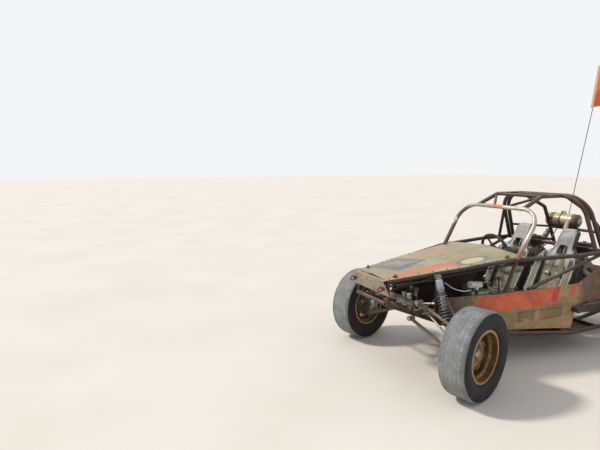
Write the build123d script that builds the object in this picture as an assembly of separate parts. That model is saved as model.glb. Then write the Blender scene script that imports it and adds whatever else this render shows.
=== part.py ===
from build123d import *
import math
import os

# Dune buggy: a two-seat tube-frame sand rail. Millimetres, +Z up, front faces -Y, left side is +X.
# Stations along Y are measured from a datum plane; the export moves them so that the origin
# is at the middle of the plan, on the ground.

# Driving dimensions
AXLE_FRONT = 28.0
WHEELBASE = 2422.0
AXLE_REAR = AXLE_FRONT + WHEELBASE
TRACK_FRONT = 1452.0
TRACK_REAR = 1540.0
NOSE_Y = -430.0
NOSE_POST_Y = -373.5
TAIL_Y = 2860.0
TOW_EYE_R = 24.0
TOW_HOLE_R = 13.0
TOW_EYE_T = 12.0
FRONT_EYE_Y = NOSE_Y - 22.0
TAIL_BAR_Y = 2800.0
TAIL_BAR_Z = 300.0
Y_MID = (FRONT_EYE_Y - TOW_EYE_R + TAIL_Y) / 2

TUBE = 38.0
TUBE_MID = 32.0
TUBE_THIN = 25.0
SHEET = 2.5
GAP = 0.3
RUN = 0.05

# Heights of the frame
RAIL_TOP_Z = 938.0
ROOF_Z = 1457.0
SCREEN_Z = 1352.0

# Plan of the long rails: station, half width, height of lower rail, of middle rail, of upper rail
RAIL_PLAN = [
    (-390.0, 205.0, 640.0, 655.0, 817.0),
    (150.0, 307.0, 425.0, 648.0, 871.0),
    (760.0, 425.0, 282.0, 640.0, 935.0),
    (1450.0, 545.0, 218.0, 670.0, RAIL_TOP_Z),
    (1880.0, 545.0, 210.0, 760.0, RAIL_TOP_Z),
]

# Height of the side panels' crease at the stations of the rails, and how far it stands out
CREASE_Z = [600.0, 518.0, 508.0, 556.0, 600.0]
CREASE_OUT = 12.0
PANEL_TUCK = 14.0
FOLD_BELOW = 170.0
FOLD_ABOVE = 125.0

# Front suspension and steering
KINGPIN_X = 636.0
LOWER_BALL_Z = 250.0
UPPER_BALL_Z = 455.0
BALL_R = 24.0
BALL_UP = 34.0
BALL_DOWN = 14.0
STEER_ARM = 110.0
STEER_ARM_Z = 400.0
STEER_REST = 15.5
RACK_Z = 592.0
RACK_Y = AXLE_FRONT - STEER_ARM + 4
RACK_ROD = 24.0
WHEEL_CENTRE = (-270.0, 1352.0, 875.0)
COLUMN_DIRECTION = (0.0, -640.0, -230.0)
COLUMN_LENGTH = 540.0

# Tyres and rims: outer radius, width, rim width
FRONT_TYRE = (344.0, 250.0, 178.0)
REAR_TYRE = (395.0, 285.0, 203.0)
BEAD_R = 188.0
FLANGE_R = 203.0
RIM_WALL = 5.0
HUB_R = 58.0
SPINDLE_R = 16.0

# Roll cage: foot and corner of each hoop's left leg
MAIN_HOOP = ((482.0, 1828.0, RAIL_TOP_Z), (444.0, 1612.0, ROOF_Z))
REAR_HOOP = ((500.0, 1905.0, RAIL_TOP_Z), (444.0, 1682.0, ROOF_Z))
SCREEN_HOOP = ((434.0, 812.0, 940.0), (452.0, 1070.0, SCREEN_Z))
HOOP_BEND = 215.0
SCREEN_BEND = 185.0

# Cabin and engine bay
DASH_Y = 915.0
SEAT_X = 252.0
ENGINE_Y = 2085.0
CRANK_Z = 420.0
FILTER_PLACE = (278.0, 1976.0)
TANK_BAR = (2232.0, 1062.0)
TANK_R = 72.0

PLACED = []
NODES = {}


def vec(p):
    return Vector(*p)


def rod(a, b, diameter):
    a, b = vec(a), vec(b)
    along = b - a
    base = Plane(origin=a, z_dir=along)
    return base * Cylinder(diameter / 2, along.length, align=(Align.CENTER, Align.CENTER, Align.MIN))


def bent(points, diameter, radii):
    path = FilletPolyline(*[vec(p) for p in points], radius=radii)
    section = Plane(origin=path @ 0, z_dir=path % 0) * Circle(diameter / 2)
    return sweep(section, path=path)


def flip(shape):
    return mirror(shape, about=Plane.YZ)


def boxes_meet(a, b):
    p, q = a.bounding_box(), b.bounding_box()
    low = max(p.min.X - q.max.X, p.min.Y - q.max.Y, p.min.Z - q.max.Z)
    high = max(q.min.X - p.max.X, q.min.Y - p.max.Y, q.min.Z - p.max.Z)
    return max(low, high) < 0.01


def largest(shape):
    solids = shape.solids()
    return max(solids, key=lambda s: s.volume)


def cope(piece, others):
    """Trim a piece to the surfaces of the pieces that it meets and keep its largest part."""
    for other in others:
        if boxes_meet(piece, other):
            piece = largest(piece - other)
    return piece


def place(node, *pieces):
    """Add solids of the chassis to a node, each trimmed to the earlier ones."""
    for piece in pieces:
        solid = cope(largest(piece), PLACED)
        PLACED.append(solid)
        NODES.setdefault(node, []).append(solid)


def both(node, piece):
    place(node, piece, flip(piece))


def keep(node, *pieces):
    """Add solids that are placed free of the others."""
    NODES.setdefault(node, []).extend(pieces)


def rail_points(column):
    return [(half, y, heights[column]) for y, half, *heights in RAIL_PLAN]


def rail_at(y, column):
    """Half width and height of a long rail at a station."""
    for (y0, x0, *h0), (y1, x1, *h1) in zip(RAIL_PLAN, RAIL_PLAN[1:]):
        if y0 <= y <= y1:
            t = (y - y0) / (y1 - y0)
            return x0 + (x1 - x0) * t, h0[column] + (h1[column] - h0[column]) * t
    raise ValueError(y)


def at_rail(y, column, dz=0.0):
    x, z = rail_at(y, column)
    return (x, y, z + dz)


def long_rails():
    lower = bent(rail_points(0), TUBE, [60, 60, 60])
    upper = bent(rail_points(2), TUBE, [60, 60, 60])
    both("lower_rails", lower)
    both("upper_rails", upper)


def hoop(leg, bend):
    """Tube from one foot over both corners to the other foot."""
    foot, corner = leg
    points = [foot, corner, (-corner[0], *corner[1:]), (-foot[0], *foot[1:])]
    return bent(points, TUBE, [bend, bend])


def hoops():
    place("main_hoop", hoop(MAIN_HOOP, HOOP_BEND))
    place("rear_hoop", hoop(REAR_HOOP, HOOP_BEND))
    place("windscreen_hoop", hoop(SCREEN_HOOP, SCREEN_BEND))


def roof():
    screen_y, main_y, rear_y = SCREEN_HOOP[1][1], MAIN_HOOP[1][1], REAR_HOOP[1][1]
    rail = bent([(262.0, screen_y + 6, SCREEN_Z + 2.5), (250.0, 1318.0, ROOF_Z), (250.0, main_y, ROOF_Z)],
                TUBE, [60])
    both("roof_rails", rail)
    place("cross_bars", rod((-250, 1322, ROOF_Z), (250, 1322, ROOF_Z), TUBE_MID))
    both("braces", rod((60, screen_y, SCREEN_Z), (242, 1300, ROOF_Z - 8), TUBE_THIN))
    both("braces", rod((240, main_y, ROOF_Z), (240, rear_y, ROOF_Z), TUBE_MID))
    both("braces", rod((450, 1678, 1299), (545, 1728, RAIL_TOP_Z), TUBE_MID))


def rear_cage():
    bar_y, bar_z = TANK_BAR
    brace = bent([(240, REAR_HOOP[1][1], ROOF_Z), (226, 2030, 1300), (290, bar_y + 4, bar_z), (310, 2640, 300)],
                 TUBE, [80, 90])
    both("rear_braces", brace)
    place("cross_bars", rod((-540, 1880, RAIL_TOP_Z), (540, 1880, RAIL_TOP_Z), TUBE))
    both("engine_rails", rod((540, 1885, RAIL_TOP_Z), (303, 2300, 905), TUBE_MID))
    place("cross_bars", rod((-290, bar_y, bar_z), (290, bar_y, bar_z), TUBE_MID))
    both("side_tubes", rod((290, bar_y + 2, bar_z), (486, 1858, 1085), TUBE_THIN))
    for y in (RACK_Y, 180.0, 760.0, 1400.0, 1850.0):
        half, z = rail_at(y, 0)
        place("cross_bars", rod((half, y, z), (-half, y, z), TUBE_MID))
    place("cross_bars", rod((-350, TAIL_BAR_Y, TAIL_BAR_Z), (350, TAIL_BAR_Y, TAIL_BAR_Z), TUBE_MID))
    both("engine_rails", rod((330, 1850, 212), (312, TAIL_BAR_Y, TAIL_BAR_Z), TUBE))


def front_frame():
    both("braces", rod(at_rail(NOSE_POST_Y, 2), at_rail(NOSE_POST_Y, 0), TUBE_MID))
    both("braces", rod(at_rail(60, 2), at_rail(60, 0), TUBE_MID))
    place("cross_bars", *[rod((-200, -388, z), (200, -388, z), TUBE_MID) for z in RAIL_PLAN[0][2::2]])
    both("side_tubes", rod(at_rail(90, 1, dz=-14), at_rail(1450, 1, dz=-14), TUBE_THIN))
    both("braces", rod(at_rail(950, 1, dz=16), at_rail(1850, 2, dz=-8), TUBE_MID))
    both("braces", rod((SCREEN_HOOP[0][0], SCREEN_HOOP[0][1], 930), at_rail(705, 1), TUBE_MID))


def build_chassis():
    long_rails()
    hoops()
    roof()
    rear_cage()
    front_frame()


def tyre(spec):
    radius, width, rim_width = spec
    half, bead = width / 2, rim_width / 2 - RIM_WALL - 0.4
    wall_r = (FLANGE_R + radius) / 2 - 8
    with BuildPart() as part:
        with BuildSketch(Plane.XZ):
            with BuildLine():
                Line((bead, BEAD_R + 0.2), (bead, FLANGE_R + 2))
                ThreePointArc((bead, FLANGE_R + 2), (half, wall_r), (half - 8, radius - 24))
                ThreePointArc((half - 8, radius - 24), (half - 14, radius - 10), (half - 28, radius - 4))
                ThreePointArc((half - 28, radius - 4), (0, radius), (28 - half, radius - 4))
                ThreePointArc((28 - half, radius - 4), (14 - half, radius - 10), (8 - half, radius - 24))
                ThreePointArc((8 - half, radius - 24), (-half, wall_r), (-bead, FLANGE_R + 2))
                Line((-bead, FLANGE_R + 2), (-bead, BEAD_R + 0.2))
                Line((-bead, BEAD_R + 0.2), (bead, BEAD_R + 0.2))
            make_face()
        revolve(axis=Axis.X)
    return part.part


def rim(spec, disc_x):
    """Steel wheel: barrel with flanges, and a dished centre with oval slots."""
    half = spec[2] / 2
    w = RIM_WALL
    with BuildPart() as part:
        with BuildSketch(Plane.XZ):
            with BuildLine():
                Polyline((-half, FLANGE_R), (-half, BEAD_R - w), (-half + 30, BEAD_R - w),
                         (-half + 45, BEAD_R - w - 16), (half - 60, BEAD_R - w - 16),
                         (half - 45, BEAD_R - w), (half, BEAD_R - w), (half, FLANGE_R),
                         (half - w, FLANGE_R), (half - w, BEAD_R), (half - 43, BEAD_R),
                         (half - 58, BEAD_R - 16), (-half + 43, BEAD_R - 16),
                         (-half + 28, BEAD_R), (-half + w, BEAD_R), (-half + w, FLANGE_R),
                         (-half, FLANGE_R))
            make_face()
        revolve(axis=Axis.X)
        with BuildSketch(Plane.XZ):
            with BuildLine():
                Polyline((disc_x, 34), (disc_x, HUB_R + 8), (disc_x + 16, HUB_R + 30),
                         (disc_x + 16, 128), (disc_x - 6, BEAD_R - w - 14), (disc_x, BEAD_R - w - 14),
                         (disc_x + 22, 132), (disc_x + 22, HUB_R + 27), (disc_x + 6, HUB_R + 5),
                         (disc_x + 6, 34), (disc_x, 34))
            make_face()
        revolve(axis=Axis.X)
        with BuildSketch(Plane.YZ.offset(disc_x - 30)):
            with PolarLocations(133, 8):
                SlotOverall(62, 26, rotation=90)
        extrude(amount=80, mode=Mode.SUBTRACT)
    return part.part


def hub(disc_x, inner_x, bore_r):
    """Hub with its flange, wheel studs and brake disc, bored for the spindle."""
    with BuildPart() as part:
        with Locations(Location((inner_x, 0, 0), (0, 90, 0))):
            Cylinder(34, disc_x - 12 - inner_x, align=(Align.CENTER, Align.CENTER, Align.MIN))
        with Locations(Location((disc_x - 12, 0, 0), (0, 90, 0))):
            Cylinder(HUB_R, 12, align=(Align.CENTER, Align.CENTER, Align.MIN))
        with Locations(Location((disc_x, 0, 0), (0, 90, 0))):
            Cylinder(33, 22, align=(Align.CENTER, Align.CENTER, Align.MIN))
        with Locations(Location((inner_x + 16, 0, 0), (0, 90, 0))):
            Cylinder(120, 9, align=(Align.CENTER, Align.CENTER, Align.MIN))
        with Locations(Location((inner_x - 1, 0, 0), (0, 90, 0))):
            Cylinder(bore_r, disc_x - 12 - inner_x, align=(Align.CENTER, Align.CENTER, Align.MIN),
                     mode=Mode.SUBTRACT)
    return part.part


def front_corner():
    """Left front wheel, hub, knuckle and calliper, straight ahead, about the kingpin at x=0, y=0."""
    offset = TRACK_FRONT / 2 - KINGPIN_X
    z = FRONT_TYRE[0]
    centre = Location((offset, 0, z))
    disc_x = -8.0
    inner_x = 26.0 - offset
    wheel = {
        "tyre": centre * tyre(FRONT_TYRE),
        "rim": centre * rim(FRONT_TYRE, disc_x),
        "hub": centre * hub(disc_x, inner_x, SPINDLE_R + RUN),
    }
    foot = LOWER_BALL_Z + BALL_UP + GAP
    head = UPPER_BALL_Z - BALL_DOWN - GAP
    with BuildPart() as part:
        with Locations((0, 0, foot)):
            Cylinder(18, head - foot, align=(Align.CENTER, Align.CENTER, Align.MIN))
        with Locations((0, 0, (foot + head) / 2)):
            Box(36, 46, head - foot - 30)
        with Locations(Location((0, 0, z), (0, 90, 0))):
            Cylinder(38, 26 - GAP, align=(Align.CENTER, Align.CENTER, Align.MIN))
            Cylinder(SPINDLE_R, offset + disc_x - 14, align=(Align.CENTER, Align.CENTER, Align.MIN))
        with Locations((0, -STEER_ARM / 2, STEER_ARM_Z - 8)):
            Box(26, STEER_ARM, 16)
        with Locations((0, -STEER_ARM, STEER_ARM_Z - 8)):
            Cylinder(17, 16)
    calliper = Location((inner_x + 16 + offset + 4.5, 0, z)) * Pos(0, 112, 0) * Box(46, 52, 110)
    slot = Location((inner_x + 16 + offset + 4.5, 0, z)) * Rot(0, 90, 0) * Cylinder(122, 15)
    lug = Pos(14, 62, z) * Box(22, 86, 50)
    calliper = (calliper - slot)
    knuckle = part.part + lug
    calliper = calliper - knuckle
    return wheel, knuckle, calliper


def steer(shape):
    return Pos(KINGPIN_X, AXLE_FRONT, 0) * Rot(0, 0, STEER_REST) * shape


def steer_right(shape):
    return Pos(-KINGPIN_X, AXLE_FRONT, 0) * Rot(0, 0, STEER_REST) * flip(shape)


def build_front():
    wheel, knuckle, calliper = front_corner()
    for name, turn in (("left", steer), ("right", steer_right)):
        for piece, shape in wheel.items():
            keep(f"front_{piece}_{name}", turn(shape))
        keep(f"knuckle_{name}", turn(knuckle))
        keep(f"front_calliper_{name}", turn(calliper))


def control_arm(inner_front, inner_rear, ball_z, diameter, bush):
    """Wishbone of two tubes from its ball housing to its two bushes."""
    ball = (KINGPIN_X, AXLE_FRONT, ball_z)
    arm = Pos(0, 0, (BALL_UP - BALL_DOWN) / 2) * Pos(*ball) * Cylinder(BALL_R, BALL_UP + BALL_DOWN)
    for inner in (inner_front, inner_rear):
        arm = arm + rod(ball, inner, diameter)
        arm = arm + Pos(*inner) * Rot(90, 0, 0) * Cylinder(bush / 2, 56)
    return arm


def coil(a, b, radius, wire, turns):
    """Helical spring between two points of a damper's axis."""
    a, b = vec(a), vec(b)
    along = b - a
    path = Helix(pitch=along.length / turns, height=along.length, radius=radius)
    section = Plane(origin=path @ 0, z_dir=path % 0) * Circle(wire / 2)
    return Plane(origin=a, z_dir=along) * sweep(section, path=path, is_frenet=True)


def between(a, b, t):
    return tuple(p + (q - p) * t for p, q in zip(a, b))


def damper(low, top, body, coil_low, coil_top, coil_r, wire, turns):
    """Damper with its eyes and spring seats, and the spring between the seats."""
    span = (vec(top) - vec(low)).length
    shaft = rod(low, top, body * 0.45) + rod(between(low, top, 0.5), top, body)
    for end in (low, top):
        shaft = shaft + Pos(*end) * Rot(90, 0, 0) * Cylinder(body * 0.42, body * 0.8)
    seat = 5.0 / span
    clear = (wire / 2 + GAP) / span
    for t0, t1 in ((coil_low - clear - seat, coil_low - clear), (coil_top + clear, coil_top + clear + seat)):
        shaft = shaft + rod(between(low, top, t0), between(low, top, t1), 2 * coil_r + wire)
    spring = coil(between(low, top, coil_low), between(low, top, coil_top), coil_r, wire, turns)
    return shaft, spring


def suspension():
    lower = control_arm((252, -170, 505), (318, 185, 386), LOWER_BALL_Z, 28, 40)
    lower = lower + rod((520, -38, 316), (520, 82, 300), 28)
    upper = control_arm((278, -112, 640), (312, 150, 628), UPPER_BALL_Z, 25, 36)
    both("control_arms", lower)
    both("control_arms", upper)
    body, spring = damper((520, 22, 338), (332, 30, 848), 46, 0.34, 0.70, 38, 11, 6)
    both("dampers", body + rod((332, 30, 848), (286, 30, 848), 30))
    spring = largest(spring)
    keep("springs", spring, flip(spring))


def build_rear():
    offset = TRACK_REAR / 2
    z = REAR_TYRE[0]
    disc_x = -20.0
    inner_x = -112.0
    pieces = {
        "tyre": tyre(REAR_TYRE),
        "rim": rim(REAR_TYRE, disc_x),
        "hub": hub(disc_x, inner_x, SPINDLE_R + RUN),
    }
    for name, side in (("left", lambda s: s), ("right", flip)):
        for piece, shape in pieces.items():
            keep(f"rear_{piece}_{name}", side(Pos(offset, AXLE_REAR, z) * shape))
    hub_x = offset + inner_x - GAP
    pivot = (588.0, 1432.0, 455.0)
    hub_point = (590.0, AXLE_REAR, z)
    arm_side = Plane.YZ.offset(pivot[0] - 22) * make_face(Polyline(
        (pivot[1], pivot[2] - 26), (hub_point[1] - 60, z - 58), (hub_point[1] + 46, z - 46),
        (hub_point[1] + 46, z + 52), (hub_point[1] - 60, z + 66), (pivot[1], pivot[2] + 26), close=True))
    arm = extrude(arm_side, amount=44)
    arm = arm + Pos(*pivot) * Rot(0, 90, 0) * Cylinder(30, 70)
    arm = arm + Pos(hub_x, AXLE_REAR, z) * Rot(0, -90, 0) * Cylinder(
        52, hub_x - pivot[0], align=(Align.CENTER, Align.CENTER, Align.MIN))
    arm = arm + Pos(hub_x - 10, AXLE_REAR, z) * Rot(0, 90, 0) * Cylinder(
        SPINDLE_R, offset + disc_x - 14 - hub_x + 10, align=(Align.CENTER, Align.CENTER, Align.MIN))
    both("trailing_arms", arm)
    both("half_shafts", rod((120, AXLE_REAR, z), (pivot[0] - 22, AXLE_REAR, z), 30))
    body, spring = damper((588, 2180, 470), (326, 2268, 1010), 50, 0.28, 0.72, 42, 12, 7)
    both("dampers", body)
    spring = largest(spring)
    keep("springs", spring, flip(spring))


def cylinder_bank():
    """Two finned barrels, their head and its rocker cover, on the left side of the case."""
    bank = Pos(332, ENGINE_Y, CRANK_Z) * Box(64, 300, 130)
    cover = Pos(382, ENGINE_Y, CRANK_Z) * Box(36, 276, 96)
    bank = bank + chamfer(cover.edges().filter_by(Axis.X) + cover.faces().sort_by(Axis.X)[-1].edges(), 12)
    for y in (-72, 72):
        barrel = Pos(220, ENGINE_Y + y, CRANK_Z) * Rot(0, 90, 0)
        bank = bank + barrel * Cylinder(48, 160)
        for k in range(7):
            bank = bank + barrel * Pos(0, 0, -62 + k * 20) * Cylinder(64, 6)
    return bank


def carburettor():
    """Manifold that leans forward from the head to a twin-choke body, with the neck of its filter."""
    x, y = FILTER_PLACE
    stack = bent([(330, ENGINE_Y, CRANK_Z + 60), (330, ENGINE_Y, 600), (x, y, 690), (x, y, 740)], 60, [40, 40])
    body = Pos(x, y, 780) * Box(88, 118, 84)
    flange = Pos(x, y, 738) * Box(110, 130, 12)
    return stack + body + flange + Pos(x, y, 845) * Cylinder(40, 46)


def fan_shroud():
    """Arched cooling housing across the engine, with the inlet ring of its fan."""
    half, foot, shoulder, top = 280, 492, 640, 815
    outline = make_face(Polyline((-half, shoulder), (-half, foot), (half, foot), (half, shoulder))
                        + ThreePointArc((half, shoulder), (0, top), (-half, shoulder)))
    housing = extrude(Plane.XZ.offset(-(ENGINE_Y + 150)) * outline, amount=80)
    fan = Pos(0, ENGINE_Y + 150, 650) * Rot(90, 0, 0)
    return housing + fan * Cylinder(118, 16) - fan * Cylinder(104, 90)


def fan_drive():
    """Alternator on its stand with its shaft and pulley, and the pulley of the crankshaft."""
    axle = Pos(0, ENGINE_Y - 30, 650) * Rot(90, 0, 0)
    alternator = axle * Cylinder(62, 150) + axle * Pos(0, 0, 40) * Cylinder(12, 300)
    alternator = alternator + Pos(0, ENGINE_Y - 212, 650) * Rot(90, 0, 0) * Cylinder(56, 22)
    alternator = alternator + Pos(0, ENGINE_Y - 30, 580) * Box(70, 90, 60)
    crank = Pos(0, ENGINE_Y - 212, CRANK_Z) * Rot(90, 0, 0) * Cylinder(84, 24)
    return alternator, crank


def fuel_tank():
    """Cylinder with domed ends that lies on its bar, with two straps and a filler."""
    y, z = TANK_BAR
    left, right, dome = -326.0, 52.0, 26.0
    profile = make_face(ThreePointArc((left, 0), (left + dome * 0.3, TANK_R * 0.68), (left + dome, TANK_R))
                        + Polyline((left + dome, TANK_R), (right - dome, TANK_R))
                        + ThreePointArc((right - dome, TANK_R), (right - dome * 0.3, TANK_R * 0.68), (right, 0))
                        + Polyline((right, 0), (left, 0)))
    tank = revolve(Plane.XY * profile, axis=Axis.X)
    for x in (-240, -34):
        tank = tank + Pos(x, 0, 0) * Rot(0, 90, 0) * Cylinder(TANK_R + 3, 24)
    tank = tank + Pos(-135, 0, TANK_R + 8) * Cylinder(26, 36)
    return Pos(0, y, z + TUBE_MID / 2 + TANK_R) * tank


def drivetrain():
    case = Pos(0, ENGINE_Y, CRANK_Z) * Box(280, 400, 280)
    place("engine_case", chamfer(case.edges().filter_by(Axis.Y), 34))
    both("cylinder_banks", cylinder_bank())
    nose = Pos(0, AXLE_REAR - 110, 400) * Rot(90, 0, 0) * Cylinder(165, 70)
    gearbox = Pos(0, AXLE_REAR + 60, 398) * Box(220, 400, 230)
    gearbox = chamfer(gearbox.edges().filter_by(Axis.Y), 40)
    bell = Pos(0, AXLE_REAR, 395) * Rot(0, 90, 0) * Cylinder(70, 290)
    place("transaxle", nose + gearbox + bell)
    both("carburettors", carburettor())
    both("air_filters", Pos(*FILTER_PLACE, 868 + 54) * Cylinder(70, 108))
    place("fan_shroud", fan_shroud())
    place("fan_drive", *fan_drive())
    place("fuel_tank", fuel_tank())
    silencer = Pos(0, 2700, 560) * Rot(0, 90, 0) * Cylinder(58, 430)
    pipes = [bent([(side * 340, ENGINE_Y + 60, 360), (side * 340, ENGINE_Y + 60, 300),
                   (side * 235, ENGINE_Y + 240, 275), (side * 200, 2700, 300), (side * 160, 2700, 560)],
                  42, [45, 70, 70]) for side in (1, -1)]
    place("exhaust", silencer + pipes[0] + pipes[1])


def side_panel():
    """Left side sheet, folded outwards along its crease."""
    low, high = 150.0, 1000.0
    outlines = []
    for (y, half, *_), crease in zip(RAIL_PLAN, CREASE_Z):
        x = half + TUBE / 2 + GAP
        inner = [(x - PANEL_TUCK, low), (x, crease - FOLD_BELOW), (x + CREASE_OUT, crease),
                 (x, crease + FOLD_ABOVE), (x, high)]
        outer = [(a + SHEET, z) for a, z in reversed(inner)]
        outlines.append(Plane.XZ.offset(-y) * make_face(Polyline(*inner, *outer, close=True)))
    walls = [loft([a, b], ruled=True) for a, b in zip(outlines, outlines[1:])]
    wall = walls[0] + walls[1:]
    side = make_face(Polyline((60, 660), (620, 650), (1470, 688), (1720, 800), (1878, 800), (1878, 505),
                              (1560, 500), (1452, 440), (1425, 272), (700, 330), (60, 430), close=True))
    return largest(wall & extrude(Plane.YZ * side, amount=900))


def body_panels():
    both("side_panels", side_panel())
    floor = make_face(Polyline(*[(x, y) for y, x, *_ in RAIL_PLAN[1:]],
                               *[(-x, y) for y, x, *_ in reversed(RAIL_PLAN[1:])], close=True))
    lines = [(y, z[0] - TUBE_MID / 2 - 6) for y, x, *z in RAIL_PLAN[1:]]
    pan = Plane.YZ * make_face(Polyline(*lines, *[(y, z + SHEET) for y, z in reversed(lines)], close=True))
    pan = extrude(pan, amount=620, both=True) & extrude(floor, amount=1000)
    place("floor_pan", pan)


def hood():
    faces = []
    for y, crown in ((NOSE_Y + 40, 12.0), (150.0, 26.0), (905.0, 40.0)):
        half, z = rail_at(y, 2)
        half, z = half + 10, z + TUBE / 2 + GAP
        pts = [(-half, z), (0, z + crown), (half, z), (half, z + SHEET), (0, z + crown + SHEET), (-half, z + SHEET)]
        faces.append(Plane.XZ.offset(-y) * make_face(Polyline(*pts, close=True)))
    shell = loft(faces[:2], ruled=True) + loft(faces[1:], ruled=True)
    place("hood", shell)
    side = make_face(Polyline((NOSE_Y, 834), (NOSE_Y + 41, 837), (NOSE_Y + 41, 834.5), (NOSE_Y + 4, 831.5),
                              (-391, 712), (-394, 712.5), close=True))
    front = make_face(Polyline((-214, 900), (214, 900), (214, 826), (258, 712), (-258, 712), (-214, 826),
                               close=True))
    plate = extrude(Plane.YZ * side, amount=300, both=True) & extrude(Plane.XZ * front, amount=1000, both=True)
    place("nose_plate", plate)


def seat():
    """Bucket seat: bolsters beside a channel, square shoulders and a narrow head part with a harness slot."""
    side = make_face(Polyline((1078, 440), (1084, 330), (1500, 310), (1838, 1108), (1800, 1142),
                              (1716, 1120), (1408, 470), (1120, 482), close=True))
    front = make_face(Polyline((-200, 300), (200, 300), (206, 700), (190, 850), (150, 892), (92, 950), (84, 1096),
                               (56, 1138), (-56, 1138), (-84, 1096), (-92, 950), (-150, 892), (-190, 850),
                               (-206, 700), close=True))
    block = extrude(Plane.YZ.offset(-210) * side, amount=420) & extrude(Plane.XZ.offset(-1000) * front, amount=-1200)
    hollow = make_face(Polyline((1060, 412), (1452, 400), (1776, 1160), (1500, 1300), (900, 1300), (900, 412),
                                close=True))
    slot = Pos(0, 1700, 925) * Box(70, 300, 84)
    return largest(block - extrude(Plane.YZ.offset(-128) * hollow, amount=256) - slot)


def seats():
    both("seats", Pos(SEAT_X, 0, 0) * seat())
    leg = make_face(Polyline((1130, 200), (1130, 345), (1480, 345), (1480, 200), close=True))
    for x in (SEAT_X - 150, SEAT_X + 150):
        both("seat_frames", extrude(Plane.YZ.offset(x) * leg, amount=5))


def rack():
    """Rack housing on its brackets, and the bar inside with both tie rods."""
    housing = rod((-190, RACK_Y, RACK_Z), (190, RACK_Y, RACK_Z), 52)
    bore = rod((-200, RACK_Y, RACK_Z), (200, RACK_Y, RACK_Z), RACK_ROD + 2 * RUN)
    for x in (-150, 150):
        housing = housing + Pos(x, RACK_Y, RACK_Z - 45) * Box(12, 40, 76)
    place("rack_housing", housing - bore)
    shift = STEER_ARM * math.sin(math.radians(STEER_REST))
    bar = rod((-262, RACK_Y, RACK_Z), (262, RACK_Y, RACK_Z), RACK_ROD)
    eye_z = STEER_ARM_Z + GAP + 9
    for side in (1, -1):
        bar = bar + Pos(side * KINGPIN_X, RACK_Y, eye_z) * Cylinder(15, 18)
        bar = bar + rod((side * KINGPIN_X, RACK_Y, eye_z + 2), (side * 250, RACK_Y, RACK_Z), 18)
    keep("rack_and_tie_rods", Pos(shift, 0, 0) * bar)


def steering():
    rack()
    axis = Plane(origin=WHEEL_CENTRE, z_dir=vec(COLUMN_DIRECTION))
    grip_r, boss_r, shaft_r = 158, 34, 9
    wheel = axis * Torus(grip_r, 14) + axis * Cylinder(boss_r, 14)
    for k in range(3):
        wheel = wheel + axis * Rot(0, 0, 120 * k + 90) * Pos(grip_r / 2, 0, 0) * Box(grip_r - 2, 26, 5)
    wheel = wheel + axis * Cylinder(shaft_r, 260, align=(Align.CENTER, Align.CENTER, Align.MIN))
    keep("steering_wheel", wheel)
    column = axis * Pos(0, 0, 60) * Cylinder(19, COLUMN_LENGTH, align=(Align.CENTER, Align.CENTER, Align.MIN))
    column = column - axis * Pos(0, 0, 59) * Cylinder(
        shaft_r + RUN, 205, align=(Align.CENTER, Align.CENTER, Align.MIN))
    foot = (axis * Pos(0, 0, 60 + COLUMN_LENGTH - 10)).position
    place("steering_column", column + rod(foot, (-150, RACK_Y, RACK_Z + 30), 19))


def tow_eye(x, y, z, root_y, turn=0.0):
    """Ringed plate that is welded on at root_y. It stands in the YZ plane, or lies flat with a turn of 90."""
    plate = Rot(0, 90, 0) * Cylinder(TOW_EYE_R, TOW_EYE_T)
    tongue = Pos(0, (root_y - y) / 2, 0) * Box(TOW_EYE_T, abs(root_y - y), 34)
    hole = Rot(0, 90, 0) * Cylinder(TOW_HOLE_R, TOW_EYE_T + 2)
    return Pos(x, y, z) * Rot(0, turn, 0) * (plate + tongue - hole)


def dashboard():
    outline = make_face(Polyline((444, 935), (444, 870), (120, 850), (-150, 768), (-196, 768), (-220, 694),
                                 (-320, 694), (-344, 768), (-400, 768), (-444, 870), (-444, 935), (0, 985),
                                 close=True))
    place("dash", extrude(Plane.XZ.offset(-DASH_Y) * outline, amount=4))
    gauge = (260.0, DASH_Y + 42, 976.0)
    stem = rod((260, DASH_Y + 3, 912), (260, DASH_Y + 18, 960), 18)
    place("gauge_pod", Pos(*gauge) * Rot(90, 0, 0) * Cylinder(41, 74) + stem)


def whip_and_flag():
    base = (-100.0, TANK_BAR[0], 1070.0)
    tip = (-100.0, 2640.0, 2850.0)
    place("whip_aerial", rod(base, tip, 8))
    lean = (tip[1] - base[1]) / (tip[2] - base[2])
    hoist = [(base[1] + (z - base[2]) * lean + 4 + 2 * GAP, z) for z in (2400.0, 2840.0)]
    cloth = make_face(Polyline(*hoist, (2845, 2745), (2800, 2345), close=True))
    place("flag", extrude(Plane.YZ.offset(base[0]) * cloth, amount=1.5, both=True))


def extras():
    dashboard()
    whip_and_flag()
    for side in (1, -1):
        place("tow_eyes", tow_eye(side * 205, FRONT_EYE_Y, 770, NOSE_POST_Y))
    place("tow_eyes", tow_eye(0, TAIL_Y - TOW_EYE_R, TAIL_BAR_Z, TAIL_BAR_Y, turn=90.0))
    for x in (-175, -255, -335):
        pad = Pos(x, 236, 570) * Rot(-20, 0, 0) * Box(58, 8, 80)
        place("pedals", pad + rod((x, 240, 570), (x, 262, 360), 14))
    place("gear_lever", rod((0, 1150, 215), (0, 1120, 640), 14) + Pos(0, 1120, 650) * Sphere(22))
    canister = rod((330, 385, 742), (330, 505, 728), 58)
    bracket = Pos(344, 450, 684) * Box(26, 18, 104)
    place("fluid_reservoir", canister + bracket)


build_chassis()
body_panels()
hood()
seats()
build_front()
build_rear()
suspension()
drivetrain()
steering()
extras()

os.makedirs("parts", exist_ok=True)
for name, solids in NODES.items():
    shape = solids[0] if len(solids) == 1 else Compound(children=solids)
    export_step(Pos(0, -Y_MID, 0) * shape, f"parts/{name}.step")
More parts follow.
